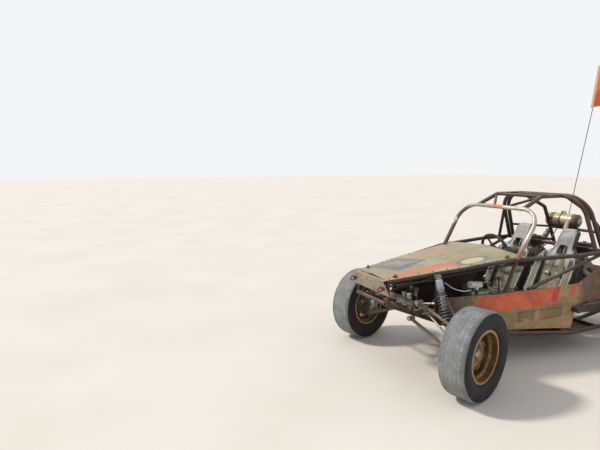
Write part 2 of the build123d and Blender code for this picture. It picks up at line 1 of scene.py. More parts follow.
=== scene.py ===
import bpy
import bmesh
import math
from mathutils import Matrix, Vector
from mathutils.bvhtree import BVHTree


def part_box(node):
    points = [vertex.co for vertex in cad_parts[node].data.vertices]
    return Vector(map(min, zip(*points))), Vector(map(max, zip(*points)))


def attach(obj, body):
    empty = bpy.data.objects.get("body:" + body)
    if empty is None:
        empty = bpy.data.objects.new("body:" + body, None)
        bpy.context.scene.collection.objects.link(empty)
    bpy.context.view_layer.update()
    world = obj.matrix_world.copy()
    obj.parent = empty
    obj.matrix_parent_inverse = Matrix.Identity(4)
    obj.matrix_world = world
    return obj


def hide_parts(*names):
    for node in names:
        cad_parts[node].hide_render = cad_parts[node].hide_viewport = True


# Looks of a two-seat tube-frame dune buggy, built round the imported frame. Metres, front faces -Y, left is +X.
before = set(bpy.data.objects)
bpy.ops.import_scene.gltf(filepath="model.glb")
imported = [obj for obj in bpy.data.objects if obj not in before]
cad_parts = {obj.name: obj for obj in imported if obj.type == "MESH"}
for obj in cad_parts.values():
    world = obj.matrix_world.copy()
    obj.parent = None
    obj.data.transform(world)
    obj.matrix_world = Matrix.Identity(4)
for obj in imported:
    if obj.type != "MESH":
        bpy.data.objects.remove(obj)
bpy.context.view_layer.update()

# Stations run backwards from a datum plane; the frame's Y is a station less Y_MID
Y_MID = 1.192

# The photograph's camera
CAMERA_PLACE = (3.077, -3.716, 1.75)
CAMERA_HEADING = (-0.9026, 0.4305)
CAMERA_PITCH = math.radians(7.58)
CAMERA_LENS = 27.06
CAMERA_SENSOR = 36.0

# Light: colour and strength of the sky as it lights and as it is seen, and the sun
SKY_LIGHT = ((0.86, 0.91, 1.0, 1), 0.72)
SKY_SEEN = ((0.90, 0.91, 0.92, 1), 1.0)
SUN_STRENGTH = 2.6
SUN_ANGLE = math.radians(7)
SUN_TINT = (1.0, 0.95, 0.88)
SUN_FROM = (-0.45, -0.75, 0.85)
FLOOR_HALF = 60.0

# Wheels: toe-out of the front pair at rest, rim width and outer side
FRONT_TURN = math.radians(15.5)
WHEELS = [
    # name, sign of the outer side, turn, rim width, pitches of tread round the tyre
    ("front_left", 1, FRONT_TURN, 0.178, 46),
    ("front_right", -1, FRONT_TURN, 0.178, 46),
    ("rear_left", 1, 0.0, 0.203, 44),
    ("rear_right", -1, 0.0, 0.203, 44),
]
BEAD_R = 0.188
FLANGE_R = 0.203
TREAD_DEPTH = 0.003
NUT_CIRCLE = 0.045

# Seats: middle of the left one, and the lines that its profile follows as station and height
SEAT_X = 0.252
BACK_FOOT = (1.452, 0.400)
BACK_TOP = (1.776, 1.160)
BOLSTER_FOOT = (1.408, 0.470)
BOLSTER_TOP = (1.716, 1.120)
SEAT_VOXEL = 0.009
PIPING_R = 0.0058
SLOT_Z = 0.925
SLOT_HALF = (0.035, 0.042)
SEAT_SWELL = 0.010
STRAP_HALF_WIDTH = 0.0235
STRAP_THICKNESS = 0.0022
STRAP_REACH = 0.12
SLOT_SQUARENESS = 0.45

# Station and height of the tank's axis
TANK_AXIS = (2.232, 1.150)

# How far fasteners are dropped to find their sheet
RAY_REACH = 0.6

# Where the painted shade on the side panels' rear quarter begins
PANEL_SHADE_FROM = 1.43

# Whip aerial, and the cut of its flag with the heights that it is tied between
WHIP_FOOT = (-0.100, 2.232, 1.070)
WHIP_TIP = (-0.100, 2.640, 2.850)
FLAG_HOIST = 0.458
FLAG_BOTTOM = 0.336
FLAG_TOP = 0.308
FLAG_LOW_Z = 2.402
FLAG_HIGH_Z = 2.838
RIPPLE_SHARE = 0.02
TIE_R = 0.0095

# Stations of the engine's middle, its belt and the dash's dials, and how those are turned
ENGINE_STATION = 2.085
BELT_STATION = ENGINE_STATION - 0.212
DIAL_STATION = 0.9152
BACKWARDS = Matrix.Rotation(-math.pi / 2, 4, "X")

# Steering wheel: its middle as x, station and height, the column's way, the ring's radius and the grip's own
GRIP_CENTRE = (-0.270, 1.352, 0.875)
COLUMN_WAY = (0.0, -640.0, -230.0)
GRIP_RING_R = 0.158
GRIP_R = 0.0153


def colour(red, green, blue):
    """Linear colour of a tint that is given in screen values from 0 to 255."""
    def linear(value):
        value = value / 255
        return value / 12.92 if value <= 0.04045 else ((value + 0.055) / 1.055) ** 2.4
    return (linear(red), linear(green), linear(blue), 1.0)


SAND = (186, 160, 126)
DUST = (168, 146, 118)
MAROON = (66, 37, 32)
DARK_BROWN = (38, 25, 23)
RUST = (128, 74, 44)
HOOD_SAGE = (134, 142, 114)
HOOD_TAN = (164, 142, 106)
PAINTED_SHADE_BROWN = (40, 32, 27)
SLATE = (84, 92, 108)
BLACK = (24, 24, 26)
STEEL = (150, 146, 140)
ALLOY = (168, 164, 154)


class Value:
    """A number or place that varies over a finish, with the usual arithmetic."""

    def __init__(self, finish, socket):
        self.finish = finish
        self.socket = socket

    def __add__(self, other):
        return self.finish.maths("ADD", self, other)

    def __sub__(self, other):
        return self.finish.maths("SUBTRACT", self, other)

    def __rsub__(self, other):
        return self.finish.maths("SUBTRACT", other, self)

    def __mul__(self, other):
        return self.finish.maths("MULTIPLY", self, other)

    def __truediv__(self, other):
        return self.finish.maths("DIVIDE", self, other)

    def __pow__(self, other):
        return self.finish.maths("POWER", self, other)

    def __abs__(self):
        return self.finish.maths("ABSOLUTE", self)


class Finish:
    """One procedural finish, put together from small steps; base is its colour so far."""

    def __init__(self, name, roughness=0.6, metallic=0.0, **sockets):
        self.material = bpy.data.materials.new(name)
        self.material.use_nodes = True
        self.nodes = self.material.node_tree.nodes
        self.shader = self.nodes["Principled BSDF"]
        for socket, value in {"Roughness": roughness, "Metallic": metallic, **sockets}.items():
            self.shader.inputs[socket.replace("_", " ")].default_value = value
        self.place = self.add("TexCoord", output="Object")
        self.base = None

    def feed(self, socket, value):
        if isinstance(value, Value):
            self.material.node_tree.links.new(value.socket, socket)
        else:
            socket.default_value = value

    def add(self, kind, values=None, output=0, **settings):
        """Output of a new step, its inputs fed by their key."""
        node = self.nodes.new("ShaderNode" + kind)
        for key, value in settings.items():
            setattr(node, key, value)
        for key, value in (values or {}).items():
            self.feed(node.inputs[key], value)
        return Value(self, node.outputs[output])

    def maths(self, operation, *values, clamp=False):
        return self.add("Math", dict(enumerate(values)), operation=operation, use_clamp=clamp)

    def most(self, first, second):
        return self.maths("MAXIMUM", first, second)

    def centre_on(self, place, turn=0.0):
        """Put the pattern's origin at a place, turned about Z."""
        self.place = self.add("Mapping", {0: self.place, "Location": place, "Rotation": (0, 0, turn)},
                              vector_type="TEXTURE")

    def parts(self, place):
        first = self.add("SeparateXYZ", {0: place})
        return [Value(self, socket) for socket in first.socket.node.outputs]

    def axes(self):
        return self.parts(self.place)

    def normal(self):
        return self.parts(self.add("NewGeometry", output="Normal"))

    def stretched(self, scale):
        return self.add("Mapping", {0: self.place, "Scale": scale})

    def noise(self, scale, detail=4.0, roughness=0.55, stretch=None):
        place = self.stretched(stretch) if stretch else self.place
        return self.add("TexNoise", {"Vector": place, "Scale": scale, "Detail": detail,
                                     "Roughness": roughness})

    def cells(self, scale):
        return self.add("TexVoronoi", {"Vector": self.place, "Scale": scale}, "Distance")

    def waves(self, scale, distortion, direction):
        return self.add("TexWave", {"Vector": self.place, "Scale": scale, "Distortion": distortion}, 1,
                        bands_direction=direction)

    def rise(self, value, low, high):
        """0 below low, 1 above high, smooth between."""
        return self.add("MapRange", {0: value, 1: low, 2: high}, interpolation_type="SMOOTHSTEP")

    def patches(self, low, high, scale, *settings, **stretch):
        """1 where a noise is above high, 0 where it is below low."""
        return self.rise(self.noise(scale, *settings, **stretch), low, high)

    def within(self, value, low, high, soft):
        """1 between low and high, fading over soft."""
        up = self.rise(value, low - soft, low + soft)
        down = self.rise(value, high - soft, high + soft)
        return up * (1.0 - down)

    def blend(self, share, low, high):
        """From the low tint to the high one, each an earlier step or a triple of screen values."""
        low, high = (colour(*tint) if isinstance(tint, tuple) else tint for tint in (low, high))
        return self.add("Mix", {0: share, 6: low, 7: high}, 2, data_type="RGBA")

    def tones(self, value, low, high, first, second):
        """First tint where a value is below low, second where it is above high."""
        return self.blend(self.rise(value, low, high), first, second)

    def coat(self, share, tint):
        """Lay a tint over the colour so far."""
        self.base = self.blend(share, self.base, tint)

    def facing_up(self, low=0.25, high=0.9):
        return self.rise(self.normal()[2], low, high)

    def paint(self, value):
        self.feed(self.shader.inputs["Base Color"], value)

    def rough(self, value):
        self.feed(self.shader.inputs["Roughness"], value)

    def shine(self, value):
        self.feed(self.shader.inputs["Metallic"], value)

    def emboss(self, height, distance):
        bump = self.add("Bump", {"Height": height, "Distance": distance, "Strength": 1.0})
        self.feed(self.shader.inputs["Normal"], bump)


def worn_paint(name, paint, second, bare=RUST, chips=0.60, dust=0.5):
    """Old paint in two tones, chipped to rust, with dust on what faces up."""
    f = Finish(name)
    coarse = f.noise(7.0, 5.0)
    fine = f.noise(85.0, 4.0)
    f.base = f.tones(coarse, 0.36, 0.66, paint, second)
    wear = coarse * 0.45 + fine * 0.55
    chipped = f.rise(wear, chips - 0.02, chips + 0.03)
    f.coat(chipped, bare)
    settled = f.facing_up() * f.patches(0.25, 0.62, 16.0, 5.0)
    film = f.patches(0.4, 0.75, 5.0, 3.0) * 0.35
    dusted = f.maths("ADD", settled, film, clamp=True) * dust
    f.paint(f.blend(dusted, f.base, DUST))
    f.rough(f.most(chipped, dusted) * 0.35 + 0.5)
    f.emboss(chipped * -0.8 + fine, 0.0006)
    return f.material


def metal(name, tint, second, roughness=0.4, dust=0.3, grime=0.4, metallic=0.85):
    """Bare metal with grime in patches and settled dust."""
    f = Finish(name, metallic=metallic)
    patch = f.patches(0.42, 0.72, 11.0, 5.0)
    fine = f.noise(140.0, 3.0)
    f.base = f.tones(fine, 0.3, 0.7, tint, second)
    f.coat(patch * grime, (52, 42, 34))
    settled = f.facing_up() * f.patches(0.3, 0.65, 22.0, 4.0)
    share = settled * dust
    f.paint(f.blend(share, f.base, DUST))
    f.shine((1.0 - share) * metallic)
    f.rough(f.most(patch, share) * 0.3 + roughness)
    f.emboss(fine, 0.0003)
    return f.material


def screen_hoop_metal():
    """Windscreen hoop: worn to bare metal, a painted stretch at its top and rusty feet."""
    f = Finish("windscreen_hoop_metal", metallic=0.55)
    x, _, z = f.axes()
    coarse = f.noise(10.0, 5.0)
    fine = f.noise(120.0, 4.0)
    f.base = f.tones(coarse, 0.35, 0.65, (206, 198, 184), (160, 148, 132))
    f.coat(f.rise(fine, 0.58, 0.66), (112, 84, 64))
    top = f.rise(z, 1.32, 1.335)
    patch = top * f.within(x + coarse * 0.08, -0.02, 0.08, 0.020)
    f.coat(patch * f.rise(fine, 0.25, 0.45), (204, 116, 88))
    foot = 1.0 - f.rise(z + coarse * 0.2, 1.08, 1.26)
    far = f.rise(x * -1.0, 0.30, 0.40) * f.rise(coarse, 0.28, 0.42)
    f.coat(foot * 0.85, (132, 84, 58))
    f.coat(far * 0.85, (80, 56, 44))
    f.paint(f.base)
    rusty = f.most(f.most(foot, far), patch)
    f.shine((1.0 - rusty) * 0.55)
    f.rough(rusty * 0.3 + 0.36)
    f.emboss(fine, 0.0004)
    return f.material


def hood_paint():
    """Faded sage and tan hood with worn orange stripes and a dark smeared patch near the nose."""
    f = Finish("hood_paint")
    x, y, _ = f.axes()
    station = y + Y_MID
    wander = (f.noise(6.0, 4.0) - 0.5) * 0.07
    fine = f.noise(60.0, 5.0, 0.65)
    broad = f.noise(3.2, 3.0)
    streak = f.noise(14.0, 4.0, 0.6, stretch=(2.2, 0.35, 1.0))
    f.base = f.tones(streak, 0.38, 0.62, HOOD_SAGE, HOOD_TAN)
    f.coat(f.rise(broad, 0.5, 0.68) * 0.45, (186, 174, 148))
    # Stripe on the left half: it widens a little towards the screen
    inner = f.rise(station, -0.1, 0.4) * 0.060 + 0.124
    outer = f.maths("MINIMUM", station * 0.13 + 0.236, 0.270)
    loose = x + wander * 0.6
    stripe = f.rise(loose - inner, -0.008, 0.008) * f.rise(outer - loose, -0.006, 0.006)
    stripe = stripe * f.within(station + wander, -0.33, 0.36, 0.03)
    tone = f.tones(station + wander, 0.02, 0.16, (220, 98, 48), (206, 94, 68))
    kept = f.rise(fine, 0.30, 0.52) * f.rise(streak, 0.30, 0.52)
    f.coat(stripe * kept * 0.84, tone)
    # Paler stripe across the right half, before the screen
    lean = station - x * 0.5
    band = f.within(lean + wander, 0.44, 0.70, 0.03) * f.within(loose, -0.27, -0.10, 0.03)
    f.coat(band * kept * 0.80, (200, 104, 84))
    smear = f.within(x + wander, -0.06, 0.12, 0.03) * f.within(station, 0.20, 0.44, 0.04)
    smear = smear * f.patches(0.46, 0.56, 24.0, 5.0, 0.7, stretch=(1.8, 0.6, 1.0))
    f.coat(smear * 0.4, (112, 92, 72))
    # Dark patch on the nose, rubbed pale in its middle
    slanted = x + station * 0.20
    along = station + x * -0.35
    patch = f.within(slanted + wander * 0.4, -0.245, 0.060, 0.010) * f.within(along + wander * 0.5, -0.235,
                                                                              0.165, 0.010)
    f.coat(patch * (kept * 0.35 + 0.45), SLATE)
    rubbed = f.within(slanted, -0.19, 0.0, 0.03) * f.within(along, -0.13, 0.06, 0.03)
    rubbed = rubbed * f.patches(0.36, 0.68, 7.0, 6.0, 0.75, stretch=(1.6, 1.0, 1.0))
    f.coat(rubbed * patch * 0.60, (176, 178, 174))
    # Pale oval near the left foot of the windscreen hoop
    oval_x = (x - 0.262) / 0.062
    oval_y = (station - 0.475) / 0.15
    reach = oval_x * oval_x + oval_y * oval_y
    f.coat(f.within(reach, 0.72, 1.45, 0.15) * 0.8, (100, 112, 98))
    f.coat((1.0 - f.rise(reach, 0.6, 0.8)) * 0.85, (204, 188, 158))
    # Tan rims, scratches, chips and dust
    edge_line = station * 0.188 + 0.262
    rim = f.rise(abs(x) + wander - edge_line, -0.01, 0.03)
    f.coat(rim * 0.75, (176, 156, 122))
    scratch = f.patches(0.62, 0.66, 9.0, 6.0, 0.75, stretch=(14.0, 0.8, 1.0))
    f.coat(scratch * 0.40, (128, 116, 100))
    chips = f.rise(fine, 0.67, 0.71)
    f.coat(chips * 0.7, (104, 84, 66))
    dust = f.patches(0.40, 0.70, 18.0, 6.0, 0.6) * 0.30
    f.coat(dust, SAND)
    # Faces that look down are painted dark brown: painted shade under the hood
    under = 1.0 - f.facing_up(-0.5, -0.3)
    f.paint(f.blend(under, f.base, PAINTED_SHADE_BROWN))
    f.rough(f.most(dust, chips) * 0.35 + 0.42)
    dents = f.noise(5.5, 2.0)
    f.emboss(dents * 7.0 + fine * 0.6, 0.0012)
    return f.material


def side_panel_paint():
    """Olive-brown sheet with an orange band above its crease and red marks; painted shade darkens its front
    corner, its rear quarter and its inner face.
    """
    f = Finish("side_panel_paint")
    x, y, z = f.axes()
    station = y + Y_MID
    wander = (f.noise(9.0, 4.0) - 0.5) * 0.05
    fine = f.noise(55.0, 5.0, 0.65)
    broad = f.noise(8.0, 4.0, 0.6, stretch=(1.0, 0.5, 1.4))
    f.base = f.tones(broad, 0.36, 0.66, (164, 132, 86), (126, 106, 66))
    blotch = f.patches(0.54, 0.70, 20.0, 4.0, stretch=(1.0, 0.3, 2.0))
    f.coat(blotch * 0.8, (104, 74, 46))
    height = z - station * 0.034
    # Front corner: painted shade near the wheel, in dark red-brown turning olive
    front = 1.0 - f.rise(station + wander * 2.0, 0.34, 0.44)
    olive = f.rise(station + wander, 0.22, 0.30)
    f.coat(front * 0.88, f.blend(olive, (74, 38, 28), (88, 92, 62)))
    # Orange band, scraped by upright scratches that show the sheet below
    band = f.within(height + wander * 0.8, 0.480, 0.628, 0.007)
    band = band * f.within(station + wander, 0.38, 1.22, 0.02)
    scrape = f.noise(40.0, 6.0, 0.75, stretch=(1.0, 4.0, 0.12))
    kept = 1.0 - f.rise(scrape, 0.54, 0.66) * 0.75
    tone = f.blend(f.patches(0.35, 0.65, 6.0, 4.0), (218, 86, 30), (186, 70, 28))
    f.coat(band * (kept * 0.92), tone)
    upright = f.patches(0.62, 0.67, 34.0, 3.0, 0.6, stretch=(1.0, 5.0, 0.25))
    f.coat(upright * band * 0.6, (206, 170, 128))
    # Red parallelogram at the band's end, and a second mark before the dark quarter
    slant = station - z * 0.35
    mark = f.within(slant, 0.970, 1.040, 0.006) * f.within(height, 0.500, 0.628, 0.006)
    f.coat(mark * f.rise(fine, 0.28, 0.42), (184, 54, 40))
    mark = f.within(slant, 1.150, 1.215, 0.008) * f.within(height, 0.53, 0.66, 0.01)
    f.coat(mark * kept * 0.75, (188, 72, 40))
    # Two worn frames under the crease, half rubbed away
    for start, end in ((0.83, 1.01), (1.06, 1.30)):
        box = f.within(station, start, end, 0.008) * f.within(height, 0.345, 0.452, 0.008)
        core = f.within(station, start + 0.020, end - 0.020, 0.007) * f.within(height, 0.362, 0.436, 0.007)
        worn = f.rise(broad, 0.30, 0.50) * 0.80
        f.coat(box * worn, (84, 62, 38))
        f.coat(core * worn * 0.7, (136, 108, 66))
    # Painted shade on the rear quarter, in dark reddish browns
    dark = f.rise(station + wander * 2.0, PANEL_SHADE_FROM, PANEL_SHADE_FROM + 0.12)
    rear = f.blend(f.patches(0.35, 0.65, 9.0, 4.0), (108, 58, 44), (84, 66, 50))
    f.coat(dark * 0.9, rear)
    low = 1.0 - f.rise(height + wander, 0.27, 0.36)
    f.coat(low * kept * 0.55, (172, 126, 80))
    share = low * 0.4 + 0.16
    dust = f.patches(0.38, 0.68, 15.0, 5.0) * share
    chips = f.rise(fine, 0.63, 0.68)
    f.coat(chips * 0.8, (82, 58, 40))
    f.coat(dust, DUST)
    # The inner face is painted dark brown: painted shade inside the body
    inward = f.normal()[0] * x * -1.0
    f.paint(f.tones(inward, 0.1, 0.2, f.base, PAINTED_SHADE_BROWN))
    f.rough(f.most(dust, chips) * 0.35 + 0.46)
    dents = f.noise(6.0, 2.0)
    f.emboss(dents * 8.0 + fine * 0.7, 0.0012)
    return f.material


def reservoir_plastic():
    """Pale grey barrel and cap on a dark stem."""
    f = Finish("reservoir_plastic", roughness=0.42)
    height = f.axes()[2]
    fine = f.noise(40.0, 4.0, 0.6)
    barrel = f.tones(fine, 0.35, 0.65, (206, 208, 204), (176, 176, 168))
    f.base = f.tones(height, 0.690, 0.700, (34, 33, 33), barrel)
    dust = f.patches(0.45, 0.70, 14.0, 5.0) * 0.4
    f.paint(f.blend(dust, f.base, SAND))
    f.rough(dust * 0.4 + 0.40)
    f.emboss(fine, 0.0002)
    return f.material


def black_trim(name, tint=BLACK, roughness=0.55, dust=0.45):
    """Matt black plastic or paint under dust."""
    f = Finish(name)
    fine = f.noise(160.0, 3.0)
    settled = f.facing_up(0.1, 0.8) * f.patches(0.3, 0.65, 18.0, 5.0)
    share = f.maths("ADD", settled, 0.12, clamp=True) * dust
    f.paint(f.blend(share, f.blend(f.patches(0.3, 0.7, 25.0), tint, (40, 40, 42)), DUST))
    f.rough(share * 0.4 + roughness)
    f.emboss(fine, 0.0004)
    return f.material


def tyre_rubber():
    """Dusty pale tread over black walls; reads where each point is on its wheel."""
    f = Finish("tyre_rubber", roughness=0.85)
    across, reach, depth = f.parts(f.add("Attribute", output="Vector", attribute_name="on_wheel"))
    coarse = f.noise(13.0, 5.0)
    fine = f.noise(120.0, 4.0)
    grip = f.rise(reach + (coarse - 0.5) * 0.03, 0.950, 0.972)
    chalk = f.tones(coarse, 0.35, 0.65, (136, 138, 138), (118, 120, 120))
    chalk = f.blend(f.rise(fine, 0.52, 0.72) * 0.6, chalk, (104, 102, 98))
    wall = f.tones(coarse, 0.42, 0.72, (24, 25, 28), (44, 41, 39))
    film = f.within(reach, 0.64, 0.76, 0.05) * f.rise(fine, 0.35, 0.7)
    wall = f.blend(film * 0.30, wall, (86, 76, 62))
    f.base = f.blend(grip, wall, chalk)
    groove = f.rise(depth, 0.30, 0.85) * f.rise(across, 0.30, 0.80)
    groove = groove * f.rise(coarse, 0.25, 0.6)
    f.paint(f.blend(groove * 0.22, f.base, (96, 92, 84)))
    f.emboss(fine, 0.0007)
    return f.material


def rim_paint(name, place, turn):
    """Bronze wheel paint, browner in its dish from soot and painted shade, with rust round the slots and a
    brassy lip.
    """
    f = Finish(name, metallic=0.35)
    f.centre_on(place, turn)
    _, y, z = f.axes()
    reach = f.maths("SQRT", y * y + z * z)
    coarse = f.noise(18.0, 5.0)
    fine = f.noise(120.0, 4.0)
    f.base = f.tones(coarse, 0.35, 0.65, (158, 126, 76), (116, 88, 52))
    rust = f.rise(fine + f.within(reach, 0.10, 0.165, 0.02) * 0.12, 0.56, 0.66)
    f.coat(rust, (84, 52, 30))
    rings = f.most(f.within(reach, 0.086, 0.093, 0.002), f.within(reach, 0.124, 0.130, 0.002))
    rings = f.most(rings, f.rise(reach, 0.190, 0.198))
    f.coat(rings * f.rise(coarse, 0.30, 0.55), (196, 160, 98))
    # Darker ring in the dish: soot, and painted shade in the dish's recess
    soot_and_shade = f.within(reach, 0.150, 0.186, 0.010)
    f.coat(soot_and_shade * 0.40, (58, 42, 28))
    f.paint(f.base)
    f.rough(rust * 0.3 + 0.40)
    f.emboss(fine, 0.0005)
    return f.material


def seat_cover():
    """Grey vinyl face with black sides and a sage green lower back, dusty, with painted shade in its creases.
    """
    f = Finish("seat_cover", roughness=0.55)
    x, y, z = f.axes()
    station = y + Y_MID
    across = abs(abs(x) - SEAT_X)
    grain = f.cells(420.0)
    soft = f.noise(9.0, 4.0)
    grey = f.tones(soft, 0.35, 0.68, (170, 173, 173), (138, 141, 143))
    sage = f.tones(soft, 0.35, 0.68, (110, 118, 92), (88, 96, 74))
    black = f.tones(soft, 0.35, 0.68, (30, 31, 34), (50, 49, 48))
    # How far a point stands before the back's own plane
    slope = (BACK_TOP[0] - BACK_FOOT[0]) / (BACK_TOP[1] - BACK_FOOT[1])
    plane = (z - BACK_FOOT[1]) * slope + BACK_FOOT[0]
    before = plane - station
    normal = f.normal()
    facing = normal[2] * 0.5 - normal[1]
    front = f.rise(facing, 0.30, 0.45)
    middle = 1.0 - f.rise(across, 0.118, 0.128)
    head = f.rise(z, 0.845, 0.865)
    face = front * f.most(middle, head)
    low = 1.0 - f.rise(z + soft * 0.03, 0.785, 0.800)
    tone = f.blend(low, grey, sage)
    f.base = f.blend(face, black, tone)
    lower_wing = front * low * f.rise(before, 0.02, 0.05)
    f.coat(lower_wing * 0.85, sage)
    dust = f.maths("ADD", f.facing_up(0.1, 0.8), 0.3, clamp=True) * f.patches(0.38, 0.7, 24.0, 5.0)
    f.coat(dust * 0.42, DUST)
    # Dark streaks are painted shade in the creases of the vinyl
    crease = f.patches(0.60, 0.66, 38.0, 6.0, 0.7, stretch=(1.0, 2.5, 1.0))
    f.paint(f.blend(crease * 0.35, f.base, (62, 58, 54)))
    f.rough(dust * 0.3 + 0.50)
    f.emboss(grain * 0.4 + soft * 2.0, 0.0010)
    return f.material


def webbing(name, tint, second):
    """Woven strap with ribs along it, faded and dusty."""
    f = Finish(name, roughness=0.8, Sheen_Weight=0.2)
    soft = f.noise(14.0, 4.0)
    ribs = f.waves(260.0, 0.3, "Z")
    f.base = f.tones(soft, 0.35, 0.68, tint, second)
    f.coat(ribs * 0.3, (70, 62, 52))
    dust = f.patches(0.42, 0.7, 30.0, 5.0)
    f.paint(f.blend(dust * 0.4, f.base, SAND))
    f.emboss(ribs, 0.0005)
    return f.material


def flag_cloth():
    """Thin orange woven cloth with a pale hem at the whip; reads how far each point lies from its hoist."""
    f = Finish("flag_cloth", roughness=0.75, Sheen_Weight=0.08)
    threads = f.waves(420.0, 0.4, "Y") * f.waves(420.0, 0.4, "Z")
    across = f.add("Attribute", output="Fac", attribute_name="from_hoist")
    tone = f.patches(0.35, 0.65, 5.0, 3.0)
    f.base = f.blend(tone, (255, 140, 40), (250, 116, 30))
    sag = f.axes()[2] - across * 0.24
    f.coat((1.0 - f.rise(sag, 2.455, 2.515)) * 0.9, (220, 64, 6))
    f.coat(threads * 0.35, (250, 150, 80))
    hem = 1.0 - f.rise(across, 0.112, 0.135)
    f.coat(hem * 0.80, (255, 214, 172))
    sewn = f.within(across, 0.262, 0.270, 0.002)
    f.paint(f.blend(sewn * 0.5, f.base, (170, 66, 22)))
    f.emboss(threads + sewn * -3.0, 0.0003)
    return f.material


def aluminium_tank():
    """Spun tank: pale domed end, darker brown lower half, dark bands under its straps and a dark right end."""
    f = Finish("tank_alloy", metallic=0.5)
    x, y, z = f.axes()
    rings = f.noise(30.0, 4.0, 0.6, stretch=(14.0, 0.3, 0.3))
    fine = f.noise(90.0, 4.0)
    f.base = f.tones(rings, 0.3, 0.7, (216, 204, 178), (178, 162, 132))
    stains = f.patches(0.46, 0.62, 15.0, 5.0, stretch=(1.6, 1.0, 1.0))
    f.coat(stains * 0.6, (132, 96, 62))
    # Lower half, strap bands and right end are darker
    low = 1.0 - f.rise(z + rings * 0.05, 1.135, 1.190)
    low = low * f.rise(x, -0.300, -0.270)
    f.coat(low * 0.85, f.tones(fine, 0.35, 0.6, (150, 100, 60), (86, 56, 38)))
    bands = f.most(f.within(x, -0.262, -0.218, 0.004), f.within(x, -0.150, -0.128, 0.006))
    f.coat(bands * 0.8, (54, 42, 36))
    radius = f.maths("SQRT", (z - TANK_AXIS[1]) ** 2.0 + (y - (TANK_AXIS[0] - Y_MID)) ** 2.0)
    end = f.rise(x, -0.014, -0.008) * f.rise(radius, 0.030, 0.036)
    f.coat(end * 0.88, (50, 44, 42))
    f.paint(f.base)
    darkened = f.most(f.most(low, end), bands)
    f.shine((1.0 - darkened) * 0.6)
    f.rough(f.most(stains, darkened) * 0.3 + 0.30)
    f.emboss(rings, 0.0003)
    return f.material


def look_finishes():
    """Every finish that the CAD nodes use, by node."""
    tube = worn_paint("frame_tube_paint", MAROON, DARK_BROWN, chips=0.59, dust=0.34)
    arms = worn_paint("control_arm_paint", (116, 110, 102), (84, 78, 70), bare=(62, 50, 42),
                      chips=0.60, dust=0.6)
    nose = worn_paint("nose_plate_paint", (150, 138, 120), (126, 112, 94),
                      bare=(98, 72, 56), chips=0.60, dust=0.6)
    sheet = metal("sheet_steel", (96, 88, 78), (74, 66, 58), roughness=0.55, dust=0.9,
                  metallic=0.5)
    bare = metal("machined_steel", STEEL, (118, 112, 104), roughness=0.38)
    cast = metal("cast_alloy", ALLOY, (128, 122, 112), roughness=0.5, grime=0.6, metallic=0.6)
    spring = worn_paint("spring_coating", (108, 112, 116), (84, 86, 88),
                        bare=(70, 62, 54), dust=0.6)
    shock = metal("damper_metal", (156, 160, 164), (116, 118, 122), roughness=0.32, grime=0.35)
    trim = black_trim("black_trim")
    dark_steel = worn_paint("arm_black_paint", (42, 31, 28), (54, 38, 32),
                            bare=(92, 62, 44), dust=0.28)
    exhaust = metal("exhaust_steel", (122, 92, 68), (92, 70, 56), roughness=0.6, grime=0.6,
                 metallic=0.6)
    rods = metal("tie_rod_metal", (166, 160, 148), (120, 112, 100), roughness=0.42)
    # Upper rails under the hood's edge: a darker copy of the frame tube paint, as painted shade
    shaded = worn_paint("upper_rail_painted_shade", (46, 27, 24), (30, 21, 20), chips=0.60, dust=0.2)
    green = worn_paint("whip_sleeve", (32, 116, 92), (24, 88, 72), bare=(60, 90, 78),
                       dust=0.2)
    vinyl = black_trim("seat_back_vinyl", dust=0.4)
    finishes = {"windscreen_hoop": screen_hoop_metal(), "hood": hood_paint(), "nose_plate": nose,
                "side_panels": side_panel_paint(), "floor_pan": sheet, "seat_frames": tube,
                "control_arms": arms, "springs": spring, "dampers": shock, "rack_and_tie_rods": rods,
                "exhaust": exhaust, "fuel_tank": aluminium_tank(), "upper_rails": shaded,
                "whip_aerial": green, "flag": flag_cloth(), "seats": vinyl, "gear_lever": bare,
                "pedals": bare, "fluid_reservoir": reservoir_plastic(), "trailing_arms": dark_steel,
                "half_shafts": bare, "gauge_pod": trim,
                "tow_eyes": worn_paint("tow_eye_paint", (140, 66, 54), (104, 50, 40), dust=0.75)}
    for name in ("engine_case", "cylinder_banks", "carburettors", "transaxle", "rack_housing", "fan_drive"):
        finishes[name] = cast
    for name in ("air_filters", "fan_shroud", "dash", "steering_wheel"):
        finishes[name] = trim
    for side in ("left", "right"):
        for name in (f"knuckle_{side}", f"front_calliper_{side}", f"front_hub_{side}", f"rear_hub_{side}"):
            finishes[name] = bare
    return finishes, tube


class Wheel:
    """Where a wheel stands: its own X runs outwards along the axle."""

    def __init__(self, name, side, turn, rim_width, pitches):
        self.name = name
        low, high = (Vector(corner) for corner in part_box(self.node("tyre")))
        self.body = "wheel_" + name
        self.side = side
        self.rim_width = rim_width
        self.pitches = pitches
        self.centre = (low + high) / 2
        self.radius = (high.z - low.z) / 2
        depth = 2 * self.radius
        self.width = ((high.x - low.x) - depth * abs(math.sin(turn))) / math.cos(turn)
        self.turn = turn
        outward = Vector((math.cos(turn), math.sin(turn), 0)) * side
        back = Vector((0, 0, 1)).cross(outward)
        self.matrix = Matrix.Translation(self.centre) @ Matrix((outward, back,
                                                                (0, 0, 1))).transposed().to_4x4()

    def node(self, piece):
        end, side = self.name.split("_")
        return f"{end}_{piece}_{side}"


def linked(name, data):
    obj = bpy.data.objects.new(name, data)
    bpy.context.scene.collection.objects.link(obj)
    return obj


def new_object(name, mesh, material):
    obj = linked(name, mesh)
    mesh.materials.clear()
    mesh.materials.append(material)
    return obj


def piece(name, mesh, material, slot, body="chassis", replaced=None):
    """One visible piece on a body, which hides the CAD node that it takes the place of; slot is not used."""
    obj = new_object(name, mesh, material)
    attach(obj, body)
    if replaced:
        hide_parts(replaced)
    return obj


